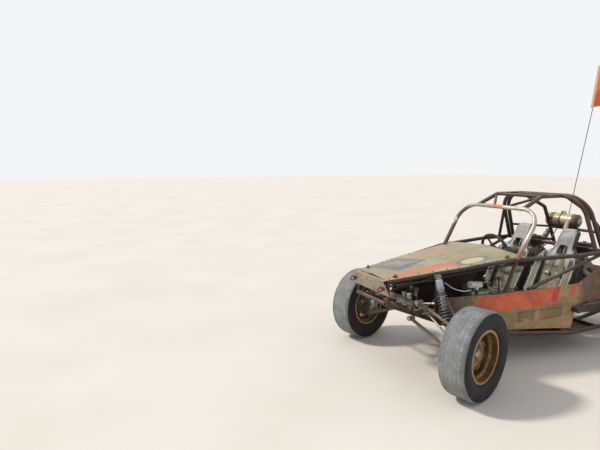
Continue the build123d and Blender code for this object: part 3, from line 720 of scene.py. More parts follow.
def mesh_from(bm, name, smooth=True):
    bmesh.ops.recalc_face_normals(bm, faces=bm.faces)
    mesh = bpy.data.meshes.new(name)
    bm.to_mesh(mesh)
    bm.free()
    for polygon in mesh.polygons:
        polygon.use_smooth = smooth
    return mesh


def ring(bm, points):
    return [bm.verts.new(point) for point in points]


def skin(bm, first, second, closed=True):
    count = len(first)
    for k in range(count if closed else count - 1):
        bm.faces.new((first[k], first[(k + 1) % count], second[(k + 1) % count], second[k]))


def loft(bm, rows, closed=False, capped=True):
    """Skin between rows that follow each other, closed into a ring or with a face on each end."""
    for a, b in zip(rows, rows[1:] + rows[:1] if closed else rows[1:]):
        skin(bm, a, b)
    if capped and not closed:
        bm.faces.new(rows[0])
        bm.faces.new(list(reversed(rows[-1])))


def turns(count):
    """Angles of equal steps round a full turn."""
    return [2 * math.pi * k / count for k in range(count)]


def arc(start, middle, end, steps):
    """Points of the plane arc through three points, without its last one."""
    (x1, y1), (x2, y2), (x3, y3) = start, middle, end
    d = 2 * (x1 * (y2 - y3) + x2 * (y3 - y1) + x3 * (y1 - y2))
    q1, q2, q3 = x1 * x1 + y1 * y1, x2 * x2 + y2 * y2, x3 * x3 + y3 * y3
    cx = (q1 * (y2 - y3) + q2 * (y3 - y1) + q3 * (y1 - y2)) / d
    cy = (q1 * (x3 - x2) + q2 * (x1 - x3) + q3 * (x2 - x1)) / d
    radius = math.hypot(x1 - cx, y1 - cy)
    turn = [math.atan2(y - cy, x - cx) for x, y in (start, middle, end)]
    sweep = (turn[2] - turn[0]) % (2 * math.pi)
    if (turn[1] - turn[0]) % (2 * math.pi) > sweep:
        sweep -= 2 * math.pi
    return [(cx + radius * math.cos(turn[0] + sweep * k / steps),
             cy + radius * math.sin(turn[0] + sweep * k / steps)) for k in range(steps)]


def tyre_outline(wheel):
    """Section of the carcass from its outer bead over the tread floor to its inner bead."""
    half = wheel.width / 2
    bead = wheel.rim_width / 2 - 0.0054
    radius = wheel.radius
    wall_r = (FLANGE_R + radius) / 2 - 0.008
    floor_r = radius - TREAD_DEPTH
    outer = [(bead, BEAD_R + 0.001), (bead, FLANGE_R + 0.002)]
    outer += arc((bead, FLANGE_R + 0.003), (half, wall_r), (half - 0.008, radius - 0.024), 14)
    outer += arc((half - 0.008, radius - 0.024), (half - 0.017, floor_r - 0.006), (half - 0.034, floor_r), 4)
    outer += [((half - 0.034) * (1 - k / 4), floor_r + 0.002 * k / 4) for k in range(4)]
    inner = [(-x, r) for x, r in reversed(outer)]
    return outer + [(0.0, floor_r + 0.002)] + inner


def lathe(bm, outline, segments):
    """Closed outline of (across, radius) turned about X."""
    loft(bm, [ring(bm, [(x, -r * math.sin(a), r * math.cos(a)) for x, r in outline])
              for a in turns(segments)], closed=True)


def tread_pitch(wheel):
    """One pitch of the tread: five ribs of chamfered blocks and the lugs over both shoulders."""
    bm = bmesh.new()
    pitch = 2 * math.pi / wheel.pitches
    half = wheel.width / 2
    top = wheel.radius
    gap_x = 0.0015 / half
    gap_t = 0.0009 / (pitch * top)
    chamfer_x, chamfer_t = 0.0012, 0.0012 / top
    ribs = [-0.72, -0.44, -0.15, 0.15, 0.44, 0.72]

    def point(across, turn, reach):
        return (across, -reach * math.sin(turn), reach * math.cos(turn))

    def block(rows, t0, t1, lean0, lean1):
        """Block over rows of (across, top radius); its ends lean from one side to the other."""
        lower, upper = [], []
        for k, (x, r) in enumerate(rows):
            share = k / (len(rows) - 1)
            a, b = t0 + lean0 * (share - 0.5), t1 + lean1 * (share - 0.5)
            lower.append([bm.verts.new(point(x, t, r - TREAD_DEPTH - 0.002)) for t in (a, b)])
            inset = chamfer_x if k == 0 else (-chamfer_x if k == len(rows) - 1 else 0.0)
            upper.append([bm.verts.new(point(x + math.copysign(inset, inset) if inset else x, t, r))
                          for t in (a + chamfer_t, (a + b) / 2, b - chamfer_t)])
        for (a0, a1), (b0, b1), (c0, cm, c1), (d0, dm, d1) in zip(lower, lower[1:], upper, upper[1:]):
            bm.faces.new((c0, d0, dm, cm))
            bm.faces.new((cm, dm, d1, c1))
            bm.faces.new((a0, b0, d0, c0))
            bm.faces.new((a1, c1, d1, b1))
            bm.faces.new((a0, a1, b1, b0))
        for (a0, a1), (c0, cm, c1), order in ((lower[0], upper[0], 1), (lower[-1], upper[-1], -1)):
            bm.faces.new((a0, c0, cm, c1, a1)[::order])

    for k, (start, end) in enumerate(zip(ribs, ribs[1:])):
        shift = 0.5 * (k % 2)
        drop = 0.0018 * abs(start + end) / 2
        rows = [((start + gap_x) * half, top - drop), ((end - gap_x) * half, top - drop)]
        lean = (0.22 if k % 2 else -0.22) * pitch
        block(rows, (shift + gap_t) * pitch, (shift + 1 - gap_t) * pitch, lean, lean)
    for side in (-1, 1):
        for k in range(2):
            start = 0.5 * k + gap_t * 1.4
            rows = [((0.72 + gap_x) * half, top - 0.002), (0.84 * half, top - 0.005),
                    (0.925 * half, top - 0.013), ((0.955 if k else 0.975) * half, top - 0.034)]
            rows = [(side * x, r) for x, r in rows]
            if side < 0:
                rows.reverse()
            block(rows, start * pitch, (start + 0.5 - gap_t * 2.8) * pitch, 0.0, 0.0)
    return mesh_from(bm, "tread_pitch", smooth=False)


def piece_tree(name, made, inputs, steps, links):
    """Node group that puts a piece on points and coats it; also gives the keys of its inputs."""
    tree = bpy.data.node_groups.new(name, "GeometryNodeTree")
    keys = {}
    for label, kind in inputs:
        socket = tree.interface.new_socket(label, in_out="INPUT", socket_type="NodeSocket" + kind)
        keys[label] = socket.identifier
    tree.interface.new_socket(made, in_out="OUTPUT", socket_type="NodeSocketGeometry")
    nodes = {"start": tree.nodes.new("NodeGroupInput"), "end": tree.nodes.new("NodeGroupOutput")}
    for label, kind, settings, values in steps:
        nodes[label] = tree.nodes.new(kind)
        for key, value in settings.items():
            setattr(nodes[label], key, value)
        for key, value in values.items():
            nodes[label].inputs[key].default_value = value
    links = links + [("place", 0, "whole", 0), ("whole", 0, "coat", "Geometry"),
                     ("start", "Finish", "coat", "Material"), ("coat", 0, "end", 0)]
    for source, output, target, socket in links:
        tree.links.new(nodes[source].outputs[output], nodes[target].inputs[socket])
    return tree, keys


def ring_tree():
    """Repeats the incoming piece round X, count times."""
    return piece_tree("repeat_round_axle", "Ring",
                      [("Piece", "Geometry"), ("Count", "Int"), ("Finish", "Material")],
                      [("points", "GeometryNodePoints", {}, {}),
                       ("place", "GeometryNodeInstanceOnPoints", {}, {}),
                       ("index", "GeometryNodeInputIndex", {}, {}),
                       ("pitch", "ShaderNodeMath", {"operation": "DIVIDE"}, {0: 2 * math.pi}),
                       ("turn", "ShaderNodeMath", {"operation": "MULTIPLY"}, {}),
                       ("angles", "ShaderNodeCombineXYZ", {}, {}),
                       ("whole", "GeometryNodeRealizeInstances", {}, {}),
                       ("coat", "GeometryNodeSetMaterial", {}, {})],
                      [("start", "Count", "points", "Count"), ("start", "Count", "pitch", 1),
                       ("index", 0, "turn", 0), ("pitch", 0, "turn", 1), ("turn", 0, "angles", "X"),
                       ("points", 0, "place", "Points"), ("start", "Piece", "place", "Instance"),
                       ("angles", 0, "place", "Rotation")])


def made_by(carrier):
    """Plain mesh that a carrier's modifiers make; the carrier goes."""
    depsgraph = bpy.context.evaluated_depsgraph_get()
    depsgraph.update()
    made = bpy.data.meshes.new_from_object(carrier.evaluated_get(depsgraph))
    bpy.data.objects.remove(carrier)
    return made


def run_tree(mesh, tree, keys, values):
    """Plain mesh that a tree makes from a mesh and its named inputs."""
    carrier = linked("carrier", mesh)
    modifier = carrier.modifiers.new("tree", "NODES")
    modifier.node_group = tree
    for name, value in values.items():
        modifier[keys[name]] = value
    return made_by(carrier)


def mark_wheel_places(mesh, wheel):
    """Keep, on each corner, how far across and out it lies and how deep in a groove its face is."""
    places = mesh.attributes.new("on_wheel", "FLOAT_VECTOR", "CORNER")
    floor_r = wheel.radius - TREAD_DEPTH
    for polygon in mesh.polygons:
        for corner in polygon.loop_indices:
            x, y, z = mesh.vertices[mesh.loops[corner].vertex_index].co
            reach = math.hypot(y, z)
            deep = min(max((wheel.radius - reach) / TREAD_DEPTH, 0.0), 1.0)
            deep = deep if reach > floor_r - 0.006 else 0.0
            places.data[corner].vector = (abs(x) / (wheel.width / 2), reach / wheel.radius, deep)


def tyre(wheel, rubber, tree, keys):
    """Carcass with its ribs and tread, standing on the wheel's own body."""
    bm = bmesh.new()
    lathe(bm, tyre_outline(wheel), 120)
    carcass = mesh_from(bm, "carcass")
    tread = run_tree(tread_pitch(wheel), tree, keys, {"Count": wheel.pitches, "Finish": rubber})
    mesh = joined([carcass, tread], "tyre_mesh")
    mark_wheel_places(mesh, wheel)
    mesh.transform(wheel.matrix)
    piece("tyre_" + wheel.name, mesh, rubber, "tyre", wheel.body, wheel.node("tyre"))


def wheel_pieces(wheel, steel, tree, keys):
    """Nuts on the disc and the cap on the hub, on the wheel's body."""
    disc_face, boss_end = (-0.003, 0.012) if wheel.name.startswith("front") else (-0.015, 0.0)
    nut = ((0.0, 0.0140), (0.004, 0.0140), (0.005, 0.0110), (0.017, 0.0110), (0.019, 0.0090), (0.024, 0.0055))
    corners = [k * math.pi / 3 for k in range(6)]
    bm = bmesh.new()
    loft(bm, [ring(bm, [(disc_face + x, r * math.cos(a), NUT_CIRCLE + r * math.sin(a)) for a in corners])
              for x, r in nut])
    nuts = run_tree(mesh_from(bm, "nut", smooth=False), tree, keys, {"Count": 5, "Finish": steel})
    bm = bmesh.new()
    bm.from_mesh(nuts)
    cap = [(0.0, 0.0310), (0.010, 0.0310), (0.018, 0.027), (0.022, 0.018), (0.023, 0.0)]
    dome(bm, [(boss_end + x, r) for x, r in cap], 28)
    mesh = bpy.data.meshes.new("wheel_pieces")
    bmesh.ops.recalc_face_normals(bm, faces=bm.faces)
    bm.to_mesh(mesh)
    bm.free()
    mesh.transform(wheel.matrix)
    piece("wheel_nuts_" + wheel.name, mesh, steel, "bare_steel", wheel.body)


def dome(bm, profile, segments):
    """Closed turned piece about X: open rows of (across, radius), the last one at the axis."""
    rows = [ring(bm, [(x, r * math.cos(a), r * math.sin(a)) for a in turns(segments)]) for x,
            r in profile[:-1]]
    loft(bm, rows, capped=False)
    tip = bm.verts.new((profile[-1][0], 0, 0))
    for k in range(segments):
        bm.faces.new((rows[-1][k], rows[-1][(k + 1) % segments], tip))
    bm.faces.new(list(reversed(rows[0])))


def build_wheels():
    rubber = tyre_rubber()
    steel = metal("nut_steel", (196, 190, 178), (140, 130, 116), roughness=0.34, grime=0.3)
    tree, keys = ring_tree()
    for row in WHEELS:
        wheel = Wheel(*row)
        tyre(wheel, rubber, tree, keys)
        turn = wheel.turn if wheel.side > 0 else wheel.turn + math.pi
        paint = rim_paint("rim_paint_" + wheel.name, tuple(wheel.centre), turn)
        give(wheel.node("rim"), paint)
        wheel_pieces(wheel, steel, tree, keys)


def swollen(mesh, limit):
    """Mesh after its cover has been blown out like stuffed fabric, no point moving further than the limit."""
    frames = 20
    carrier = linked("carrier", mesh)
    cloth = carrier.modifiers.new("stuffing", "CLOTH")
    cloth.settings.quality = 4
    cloth.settings.mass = 0.3
    cloth.settings.use_pressure = True
    cloth.settings.uniform_pressure_force = 4.0
    cloth.settings.tension_stiffness = 12
    cloth.settings.effector_weights.gravity = 0.0
    cloth.point_cache.frame_start = 1
    cloth.point_cache.frame_end = frames
    for frame_number in range(1, frames + 1):
        bpy.context.scene.frame_set(frame_number)
    depsgraph = bpy.context.evaluated_depsgraph_get()
    blown_out = carrier.evaluated_get(depsgraph).to_mesh()
    for vertex, target in zip(mesh.vertices, blown_out.vertices):
        move = target.co - vertex.co
        if move.length > limit:
            move = move.normalized() * limit
        vertex.co = vertex.co + move
    bpy.context.scene.frame_set(1)
    bpy.data.objects.remove(carrier)
    return mesh


def remeshed(mesh, voxel, shrink=0.0):
    """Copy of a closed mesh in even voxels, smoothed and drawn in a little."""
    carrier = linked("carrier", mesh.copy())
    even = carrier.modifiers.new("even", "REMESH")
    even.mode = "VOXEL"
    even.voxel_size = voxel
    soft = carrier.modifiers.new("soft", "SMOOTH")
    soft.factor = 0.6
    soft.iterations = 5
    made = made_by(carrier)
    for vertex, normal in zip(made.vertices, [v.normal.copy() for v in made.vertices]):
        vertex.co = vertex.co - normal * shrink
    for polygon in made.polygons:
        polygon.use_smooth = True
    return made


def in_frame(obj):
    """Mesh of a CAD node, placed as it stands on the car."""
    mesh = obj.data.copy()
    mesh.transform(obj.matrix_world)
    return mesh


def one_side(mesh, side):
    """The part of a mesh on one side of the car, as a mesh of its own."""
    bm = bmesh.new()
    bm.from_mesh(mesh)
    gone = [v for v in bm.verts if v.co.x * side < 0]
    bmesh.ops.delete(bm, geom=gone, context="VERTS")
    bmesh.ops.remove_doubles(bm, verts=bm.verts, dist=0.00001)
    made = bpy.data.meshes.new("one_side")
    bm.to_mesh(made)
    bm.free()
    return made


def flipped(mesh):
    """Mirror image of a mesh across the middle of the car."""
    made = mesh.copy()
    made.transform(Matrix.Diagonal((-1, 1, 1, 1)))
    made.flip_normals()
    return made


def pinch_seams(mesh):
    """Draw the cover in along the seams between the channel, the bolsters and the cross rows of the back."""
    rows = [0.50 + 0.085 * k for k in range(4)]
    for vertex, normal in zip(mesh.vertices, [v.normal.copy() for v in mesh.vertices]):
        across = abs(vertex.co.x - SEAT_X)
        station, z = vertex.co.y + Y_MID, vertex.co.z
        depth = 0.0
        if normal.y < -0.25 or normal.z > 0.4:
            depth += 0.006 * math.exp(-((across - 0.128) / 0.008) ** 2)
            if across < 0.12 and station > 1.40:
                depth += 0.005 * sum(math.exp(-((z - row) / 0.007) ** 2) for row in rows)
            if across < 0.12 and station < 1.40:
                depth += 0.005 * sum(math.exp(-((station - row) / 0.007) ** 2) for row in (1.18, 1.27, 1.36))
        vertex.co = vertex.co - normal * depth


def tube_along(points, radius, sides=8, closed=False):
    """Closed tube along points, as a mesh."""
    bm = bmesh.new()
    points = [Vector(p) for p in points]
    rows = []
    last = len(points) - 1
    side_way = None
    for k, p in enumerate(points):
        if closed:
            along = (points[(k + 1) % len(points)] - points[k - 1]).normalized()
        else:
            along = (points[min(k + 1, last)] - points[max(k - 1, 0)]).normalized()
        if side_way is None:
            side_way = along.orthogonal().normalized()
        side_way = (side_way - along * side_way.dot(along)).normalized()
        up = along.cross(side_way)
        rows.append(ring(bm, [p + (side_way * math.cos(a) + up * math.sin(a)) * radius
                              for a in turns(sides)]))
    loft(bm, rows, closed)
    return mesh_from(bm, "tube")


def smooth_line(points, steps=8):
    """Points of a curve through the given ones."""
    points = [Vector(p) for p in points]
    line = []
    for k in range(len(points) - 1):
        p0, p1 = points[max(k - 1, 0)], points[k]
        p2, p3 = points[k + 1], points[min(k + 2, len(points) - 1)]
        for j in range(steps):
            t = j / steps
            line.append(0.5 * ((2 * p1) + (p2 - p0) * t + (2 * p0 - 5 * p1 + 4 * p2 - p3) * t * t
                               + (3 * p1 - p0 - 3 * p2 + p3) * t * t * t))
    line.append(points[-1])
    return line


def at_station(x, station, z):
    """Point of the car from a station."""
    return Vector((x, station - Y_MID, z))


def pipe(rows, radius, sides=8):
    """Tube along a smooth curve through rows of x, station and height."""
    return tube_along(smooth_line([at_station(*row) for row in rows]), radius, sides)


def on_line(foot, top, z):
    """Station of a leaning line at a height."""
    return foot[0] + (z - foot[1]) * (top[0] - foot[0]) / (top[1] - foot[1])


def strap(surface, points, lift):
    """Flat strap laid on a surface: each point is brought to the nearest place on it."""
    line = smooth_line(points, 10)
    bm = bmesh.new()
    rows = []
    for k, p in enumerate(line):
        along = (line[min(k + 1, len(line) - 1)] - line[max(k - 1, 0)]).normalized()
        place, normal, _, distance = surface.find_nearest(p)
        if place is None or distance > STRAP_REACH:
            place, normal = p, Vector((0, -0.8, 0.6))
        normal = (normal - along * normal.dot(along)).normalized()
        width = along.cross(normal).normalized() * STRAP_HALF_WIDTH
        low = place + normal * lift
        high = low + normal * STRAP_THICKNESS
        rows.append(ring(bm, (low - width, low + width, high + width, high - width)))
    loft(bm, rows)
    return mesh_from(bm, "strap", smooth=False)


def joined(meshes, name):
    bm = bmesh.new()
    for mesh in meshes:
        bm.from_mesh(mesh)
    made = bpy.data.meshes.new(name)
    bm.to_mesh(made)
    bm.free()
    return made


def pieces(*rows):
    """Pieces on the chassis from rows of name, meshes, material and slot."""
    for name, meshes, material, slot in rows:
        piece(name, joined(meshes, name), material, slot)


def block_mesh(middle, size, turn=None):
    """Box with chamfered edges."""
    bm = bmesh.new()
    bmesh.ops.create_cube(bm, size=1.0)
    bmesh.ops.scale(bm, vec=size, verts=bm.verts)
    bmesh.ops.bevel(bm, geom=bm.edges[:], offset=min(size) * 0.18, segments=2, affect="EDGES", profile=0.5)
    matrix = Matrix.Translation(middle)
    if turn:
        matrix = matrix @ turn
    bmesh.ops.transform(bm, matrix=matrix, verts=bm.verts)
    return mesh_from(bm, "block")


def laid(surface, points, lift):
    """Curve through points, brought on a surface and evened out."""
    line = []
    for p in smooth_line(points, 6):
        place, normal = surface.find_nearest(p)[:2]
        line.append(place + normal * lift)
    for _ in range(3):
        line = [line[0]] + [(a + b * 2 + c) / 4 for a, b, c in zip(line, line[1:], line[2:])] + [line[-1]]
    return line


def seat_piping(surface):
    """Piping of the left seat: round its front edge and head, and along both edges of its channel."""
    side = []
    for across, z in ((0.192, 0.50), (0.201, 0.62), (0.201, 0.74), (0.187, 0.845), (0.152, 0.888),
                      (0.097, 0.945), (0.088, 1.02), (0.081, 1.085), (0.056, 1.125), (0.0, 1.130)):
        side.append((across, on_line(BOLSTER_FOOT, BOLSTER_TOP, z) - 0.002, z))
    left = [at_station(SEAT_X + a, y, z) for a, y, z in side]
    right = [at_station(SEAT_X - a, y, z) for a, y, z in reversed(side[:-1])]
    meshes = [tube_along(laid(surface, left + right, PIPING_R * 0.3), PIPING_R)]
    for way in (-1, 1):
        inner = [at_station(SEAT_X + way * 0.134, on_line(BOLSTER_FOOT, BOLSTER_TOP, z) - 0.003, z)
                 for z in (0.865, 0.78, 0.68, 0.58, 0.50)]
        inner += [at_station(SEAT_X + way * 0.134, y, 0.484) for y in (1.380, 1.280, 1.180, 1.135)]
        meshes.append(tube_along(laid(surface, inner, PIPING_R * 0.3), PIPING_R * 0.8))
    return joined(meshes, "piping")


def slot_lining():
    """Black lip round the harness slot of the left seat, drawn through the slot."""
    bm = bmesh.new()
    slope = (BACK_TOP[0] - BACK_FOOT[0]) / (BACK_TOP[1] - BACK_FOOT[1])
    rows = []
    for depth, grow in ((-0.004, 0.007), (-0.007, 0.002), (-0.004, -0.003), (0.030, -0.004), (0.060, -0.004),
                        (0.060, 0.001), (-0.001, 0.001), (-0.001, 0.006)):
        row = []
        for a in turns(32):
            across = (SLOT_HALF[0] + grow) * math.copysign(abs(math.cos(a)) ** SLOT_SQUARENESS, math.cos(a))
            z = SLOT_Z + (SLOT_HALF[1] + grow) * math.copysign(abs(math.sin(a)) ** SLOT_SQUARENESS,
                                                               math.sin(a))
            row.append(at_station(SEAT_X + across, BACK_FOOT[0] + (z - BACK_FOOT[1]) * slope + depth, z))
        rows.append(ring(bm, row))
    loft(bm, rows, closed=True)
    return mesh_from(bm, "lining")


def harness(surface):
    """Straps of the left seat, over shoulders and lap, with their buckle and adjusters."""
    straps, metals = [], []
    for side in (-1, 1):
        shoulder = [at_station(SEAT_X + side * 0.022, on_line(BACK_FOOT, BACK_TOP, z), z)
                    for z in (0.935, 0.90)]
        shoulder += [at_station(SEAT_X + side * reach, on_line(BACK_FOOT, BACK_TOP, z) - 0.012, z)
                     for reach, z in ((0.045, 0.82), (0.060, 0.70), (0.050, 0.58), (0.030, 0.48))]
        shoulder.append(at_station(SEAT_X + side * 0.018, 1.400, 0.440))
        straps.append(strap(surface, shoulder, 0.003))
        lap = [at_station(SEAT_X + side * reach, station, z) for reach, station,
               z in ((0.185, 1.46, 0.50), (0.135, 1.42, 0.475), (0.080, 1.395, 0.44), (0.02, 1.385, 0.435))]
        straps.append(strap(surface, lap, 0.006))
        metals.append(block_mesh(at_station(SEAT_X + side * 0.058,
                                            on_line(BACK_FOOT, BACK_TOP, 0.70) - 0.026, 0.70),
                                 (0.056, 0.010, 0.034), Matrix.Rotation(-0.4, 4, "X")))
    metals.append(block_mesh(at_station(SEAT_X, 1.385, 0.452), (0.062, 0.050, 0.016)))
    return joined(straps, "harness"), joined(metals, "harness_metal")


def build_seats():
    """Both seats, blown out from the CAD seat's shape, with piping and harnesses."""
    cover = seat_cover()
    whole = in_frame(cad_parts["seats"])
    left = remeshed(one_side(whole, 1), SEAT_VOXEL, 0.002)
    left = swollen(left, SEAT_SWELL)
    pinch_seams(left)
    surface = BVHTree.FromPolygons([v.co.copy() for v in left.vertices],
                                   [list(p.vertices) for p in left.polygons])
    straps, metals = harness(surface)
    piping = seat_piping(surface)
    lining = slot_lining()
    cloth = webbing("harness_webbing", (156, 145, 118), (118, 108, 88))
    cord = webbing("seat_piping", (228, 226, 218), (198, 196, 188))
    foam = black_trim("slot_lining", dust=0.25)
    steel = metal("buckle_steel", (170, 168, 160), (120, 116, 108))
    for name, turned in (("left", False), ("right", True)):
        pieces = [("seat", left, cover, "seat_vinyl"), ("harness", straps, cloth, "seat_vinyl"),
                  ("seat_piping", piping, cord, "seat_vinyl"), ("slot_lining", lining, foam, "seat_vinyl"),
                  ("harness_buckle", metals, steel, "bare_steel")]
        for kind, mesh, material, slot in pieces:
            mesh = flipped(mesh) if turned else mesh.copy()
            obj = piece(f"{kind}_{name}", mesh, material, slot, replaced="seats" if kind == "seat" else None)
            kind == "seat"


def whip(z):
    """Point of the whip's axis at a height."""
    foot, tip = at_station(*WHIP_FOOT), at_station(*WHIP_TIP)
    return foot + (tip - foot) * ((z - foot.z) / (tip.z - foot.z))


def blown(corner, width, drop):
    """Where the end of an edge comes to when the wind ripples it, lower than its start by drop."""
    reach = width * (1 - RIPPLE_SHARE)
    return corner + Vector((0.0, math.sqrt(reach ** 2 - drop ** 2), -drop))


def flag_mesh(lag):
    """Flag blown backwards from beside the whip: its free edge ripples."""
    across, along = 26, 36
    low_front = whip(FLAG_LOW_Z) + Vector((0.0, -0.060, -0.038))
    up_the_hoist = (whip(FLAG_HIGH_Z) + Vector((0.0, -0.084, -0.012)) - low_front).normalized()
    high_front = low_front + up_the_hoist * FLAG_HOIST
    low_free, high_free = blown(low_front, FLAG_BOTTOM, -0.055), blown(high_front, FLAG_TOP, 0.020)
    bm = bmesh.new()
    from_hoist = bm.verts.layers.float.new("from_hoist")
    grid = []
    for i in range(along + 1):
        v = i / along
        front, free = low_front.lerp(high_front, v), low_free.lerp(high_free, v)
        row = []
        for j in range(across + 1):
            u = j / across
            p = front.lerp(free, u)
            wave = math.sin(7.5 * u + 2.4 * v + lag) * 0.016 * u + math.sin(13.0 * u - 3.1
                                                                            * v) * 0.006 * u * u
            vert = bm.verts.new(p + Vector((0.0085 + wave * (1 - 0.3 * v), 0, 0.006 * math.sin(6 * u) * u)))
            vert[from_hoist] = u
            row.append(vert)
        grid.append(row)
    for a, b in zip(grid, grid[1:]):
        skin(bm, a, b, closed=False)
    return mesh_from(bm, "flag_cloth")


def build_flag():
    obj = piece("flag_cloth", flag_mesh(0.6), flag_cloth(), "flag_cloth", replaced="flag")
    thick = obj.modifiers.new("thickness", "SOLIDIFY")
    thick.thickness = 0.0008
    rings = []
    for share in (0.04, 0.5, 0.96):
        middle = whip(FLAG_LOW_Z + (FLAG_HIGH_Z - FLAG_LOW_Z) * share)
        tie = [middle + Vector((TIE_R * math.cos(a), TIE_R * math.sin(a), 0)) for a in turns(14)]
        rings.append(tube_along(tie, 0.0022, closed=True))
    piece("flag_ties", joined(rings, "flag_ties"), black_trim("flag_tie"), "black_trim")


def give(node, material):
    """Coat a CAD node with a finish."""
    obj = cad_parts[node]
    mesh = obj.data
    if not mesh.materials:
        mesh.materials.append(material)
    for slot in obj.material_slots:
        slot.material = material


def coat_nodes():
    finishes, tube = look_finishes()
    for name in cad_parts:
        if "tyre" in name or "rim" in name:
            continue
        give(name, finishes.get(name, tube))


def build_camera():
    data = bpy.data.cameras.new("photo_camera")
    data.lens = CAMERA_LENS
    data.sensor_width = CAMERA_SENSOR
    camera = linked("photo_camera", data)
    east, north = CAMERA_HEADING
    look = Vector((east * math.cos(CAMERA_PITCH), north * math.cos(CAMERA_PITCH), -math.sin(CAMERA_PITCH)))
    camera.location = CAMERA_PLACE
    camera.rotation_euler = look.to_track_quat("-Z", "Y").to_euler()
    bpy.context.scene.camera = camera


def build_light():
    world = bpy.data.worlds.new("studio")
    world.use_nodes = True
    bpy.context.scene.world = world
    nodes, link = world.node_tree.nodes, world.node_tree.links.new
    nodes.clear()
    light, seen, path, either, mix, out = (nodes.new("ShaderNode" + kind) for kind in (
        "Background", "Background", "LightPath", "Math", "MixShader", "OutputWorld"))
    for background, (tint, strength) in ((light, SKY_LIGHT), (seen, SKY_SEEN)):
        background.inputs[0].default_value = tint
        background.inputs[1].default_value = strength
    either.operation = "MAXIMUM"
    link(path.outputs["Is Camera Ray"], either.inputs[0])
    link(path.outputs["Is Glossy Ray"], either.inputs[1])
    for k, node in enumerate((either, light, seen)):
        link(node.outputs[0], mix.inputs[k])
    link(mix.outputs[0], out.inputs[0])
    sun = bpy.data.lights.new("key", "SUN")
    sun.energy = SUN_STRENGTH
    sun.angle = SUN_ANGLE
    sun.color = SUN_TINT
    linked("key", sun).rotation_euler = Vector(SUN_FROM).to_track_quat("Z", "Y").to_euler()


def build_floor():
    bm = bmesh.new()
    corners = ((-1, -1), (1, -1), (1, 1), (-1, 1))
    bm.faces.new(ring(bm, [(x * FLOOR_HALF, y * FLOOR_HALF, 0) for x, y in corners]))
    f = Finish("pale_floor", roughness=0.9)
    f.paint(f.blend(f.patches(0.3, 0.7, 0.8, 3.0), (226, 219, 208), (220, 213, 201)))
    new_object("floor", mesh_from(bm, "floor"), f.material)


def scatter_tree():
    """Puts a many-sided head on every point, its top towards the point's own aim."""
    inputs = [("Points", "Geometry"), ("Sides", "Int"), ("Radius", "Float"), ("Height", "Float"),
              ("Finish", "Material")]
    return piece_tree("fasteners", "Heads", inputs,
                      [("head", "GeometryNodeMeshCone", {}, {"Side Segments": 2}),
                       ("top", "ShaderNodeMath", {"operation": "MULTIPLY"}, {1: 0.72}),
                       ("aim", "GeometryNodeInputNamedAttribute", {"data_type": "FLOAT_VECTOR"},
                        {"Name": "aim"}), ("turn", "FunctionNodeAlignRotationToVector", {"axis": "Z"}, {}),
                       ("place", "GeometryNodeInstanceOnPoints", {}, {}),
                       ("whole", "GeometryNodeRealizeInstances", {}, {}),
                       ("coat", "GeometryNodeSetMaterial", {}, {})],
                      [("start", "Radius", "top", 0), ("top", 0, "head", "Radius Top"),
                       ("start", "Radius", "head", "Radius Bottom"), ("start", "Height", "head", "Depth"),
                       ("start", "Sides", "head", "Vertices"), ("aim", "Attribute", "turn", "Vector"),
                       ("start", "Points", "place", "Points"), ("head", 0, "place", "Instance"),
                       ("turn", 0, "place", "Rotation")])


def surface_of(*nodes):
    """Search tree over the CAD nodes' own faces."""
    verts, faces = [], []
    for name in nodes:
        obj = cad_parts[name]
        start = len(verts)
        verts += [obj.matrix_world @ v.co for v in obj.data.vertices]
        faces += [[start + k for k in p.vertices] for p in obj.data.polygons]
    return BVHTree.FromPolygons(verts, faces)


def seats_on(surface, starts, way):
    """Where rays from the starts meet a surface, with the normal that faces back."""
    found = []
    way = Vector(way).normalized()
    for start in starts:
        place, normal = surface.ray_cast(Vector(start), way, RAY_REACH)[:2]
        if place is not None:
            found.append((place, normal if normal.dot(way) < 0 else -normal))
    return found


def spaced(a, b, count):
    a, b = Vector(a), Vector(b)
    return [a.lerp(b, k / max(count - 1, 1)) for k in range(count)]


def points_mesh(places):
    mesh = bpy.data.meshes.new("points")
    mesh.from_pydata([place for place, aim in places], [], [])
    aims = mesh.attributes.new("aim", "FLOAT_VECTOR", "POINT")
    for item, (place, aim) in zip(aims.data, places):
        item.vector = aim
    return mesh


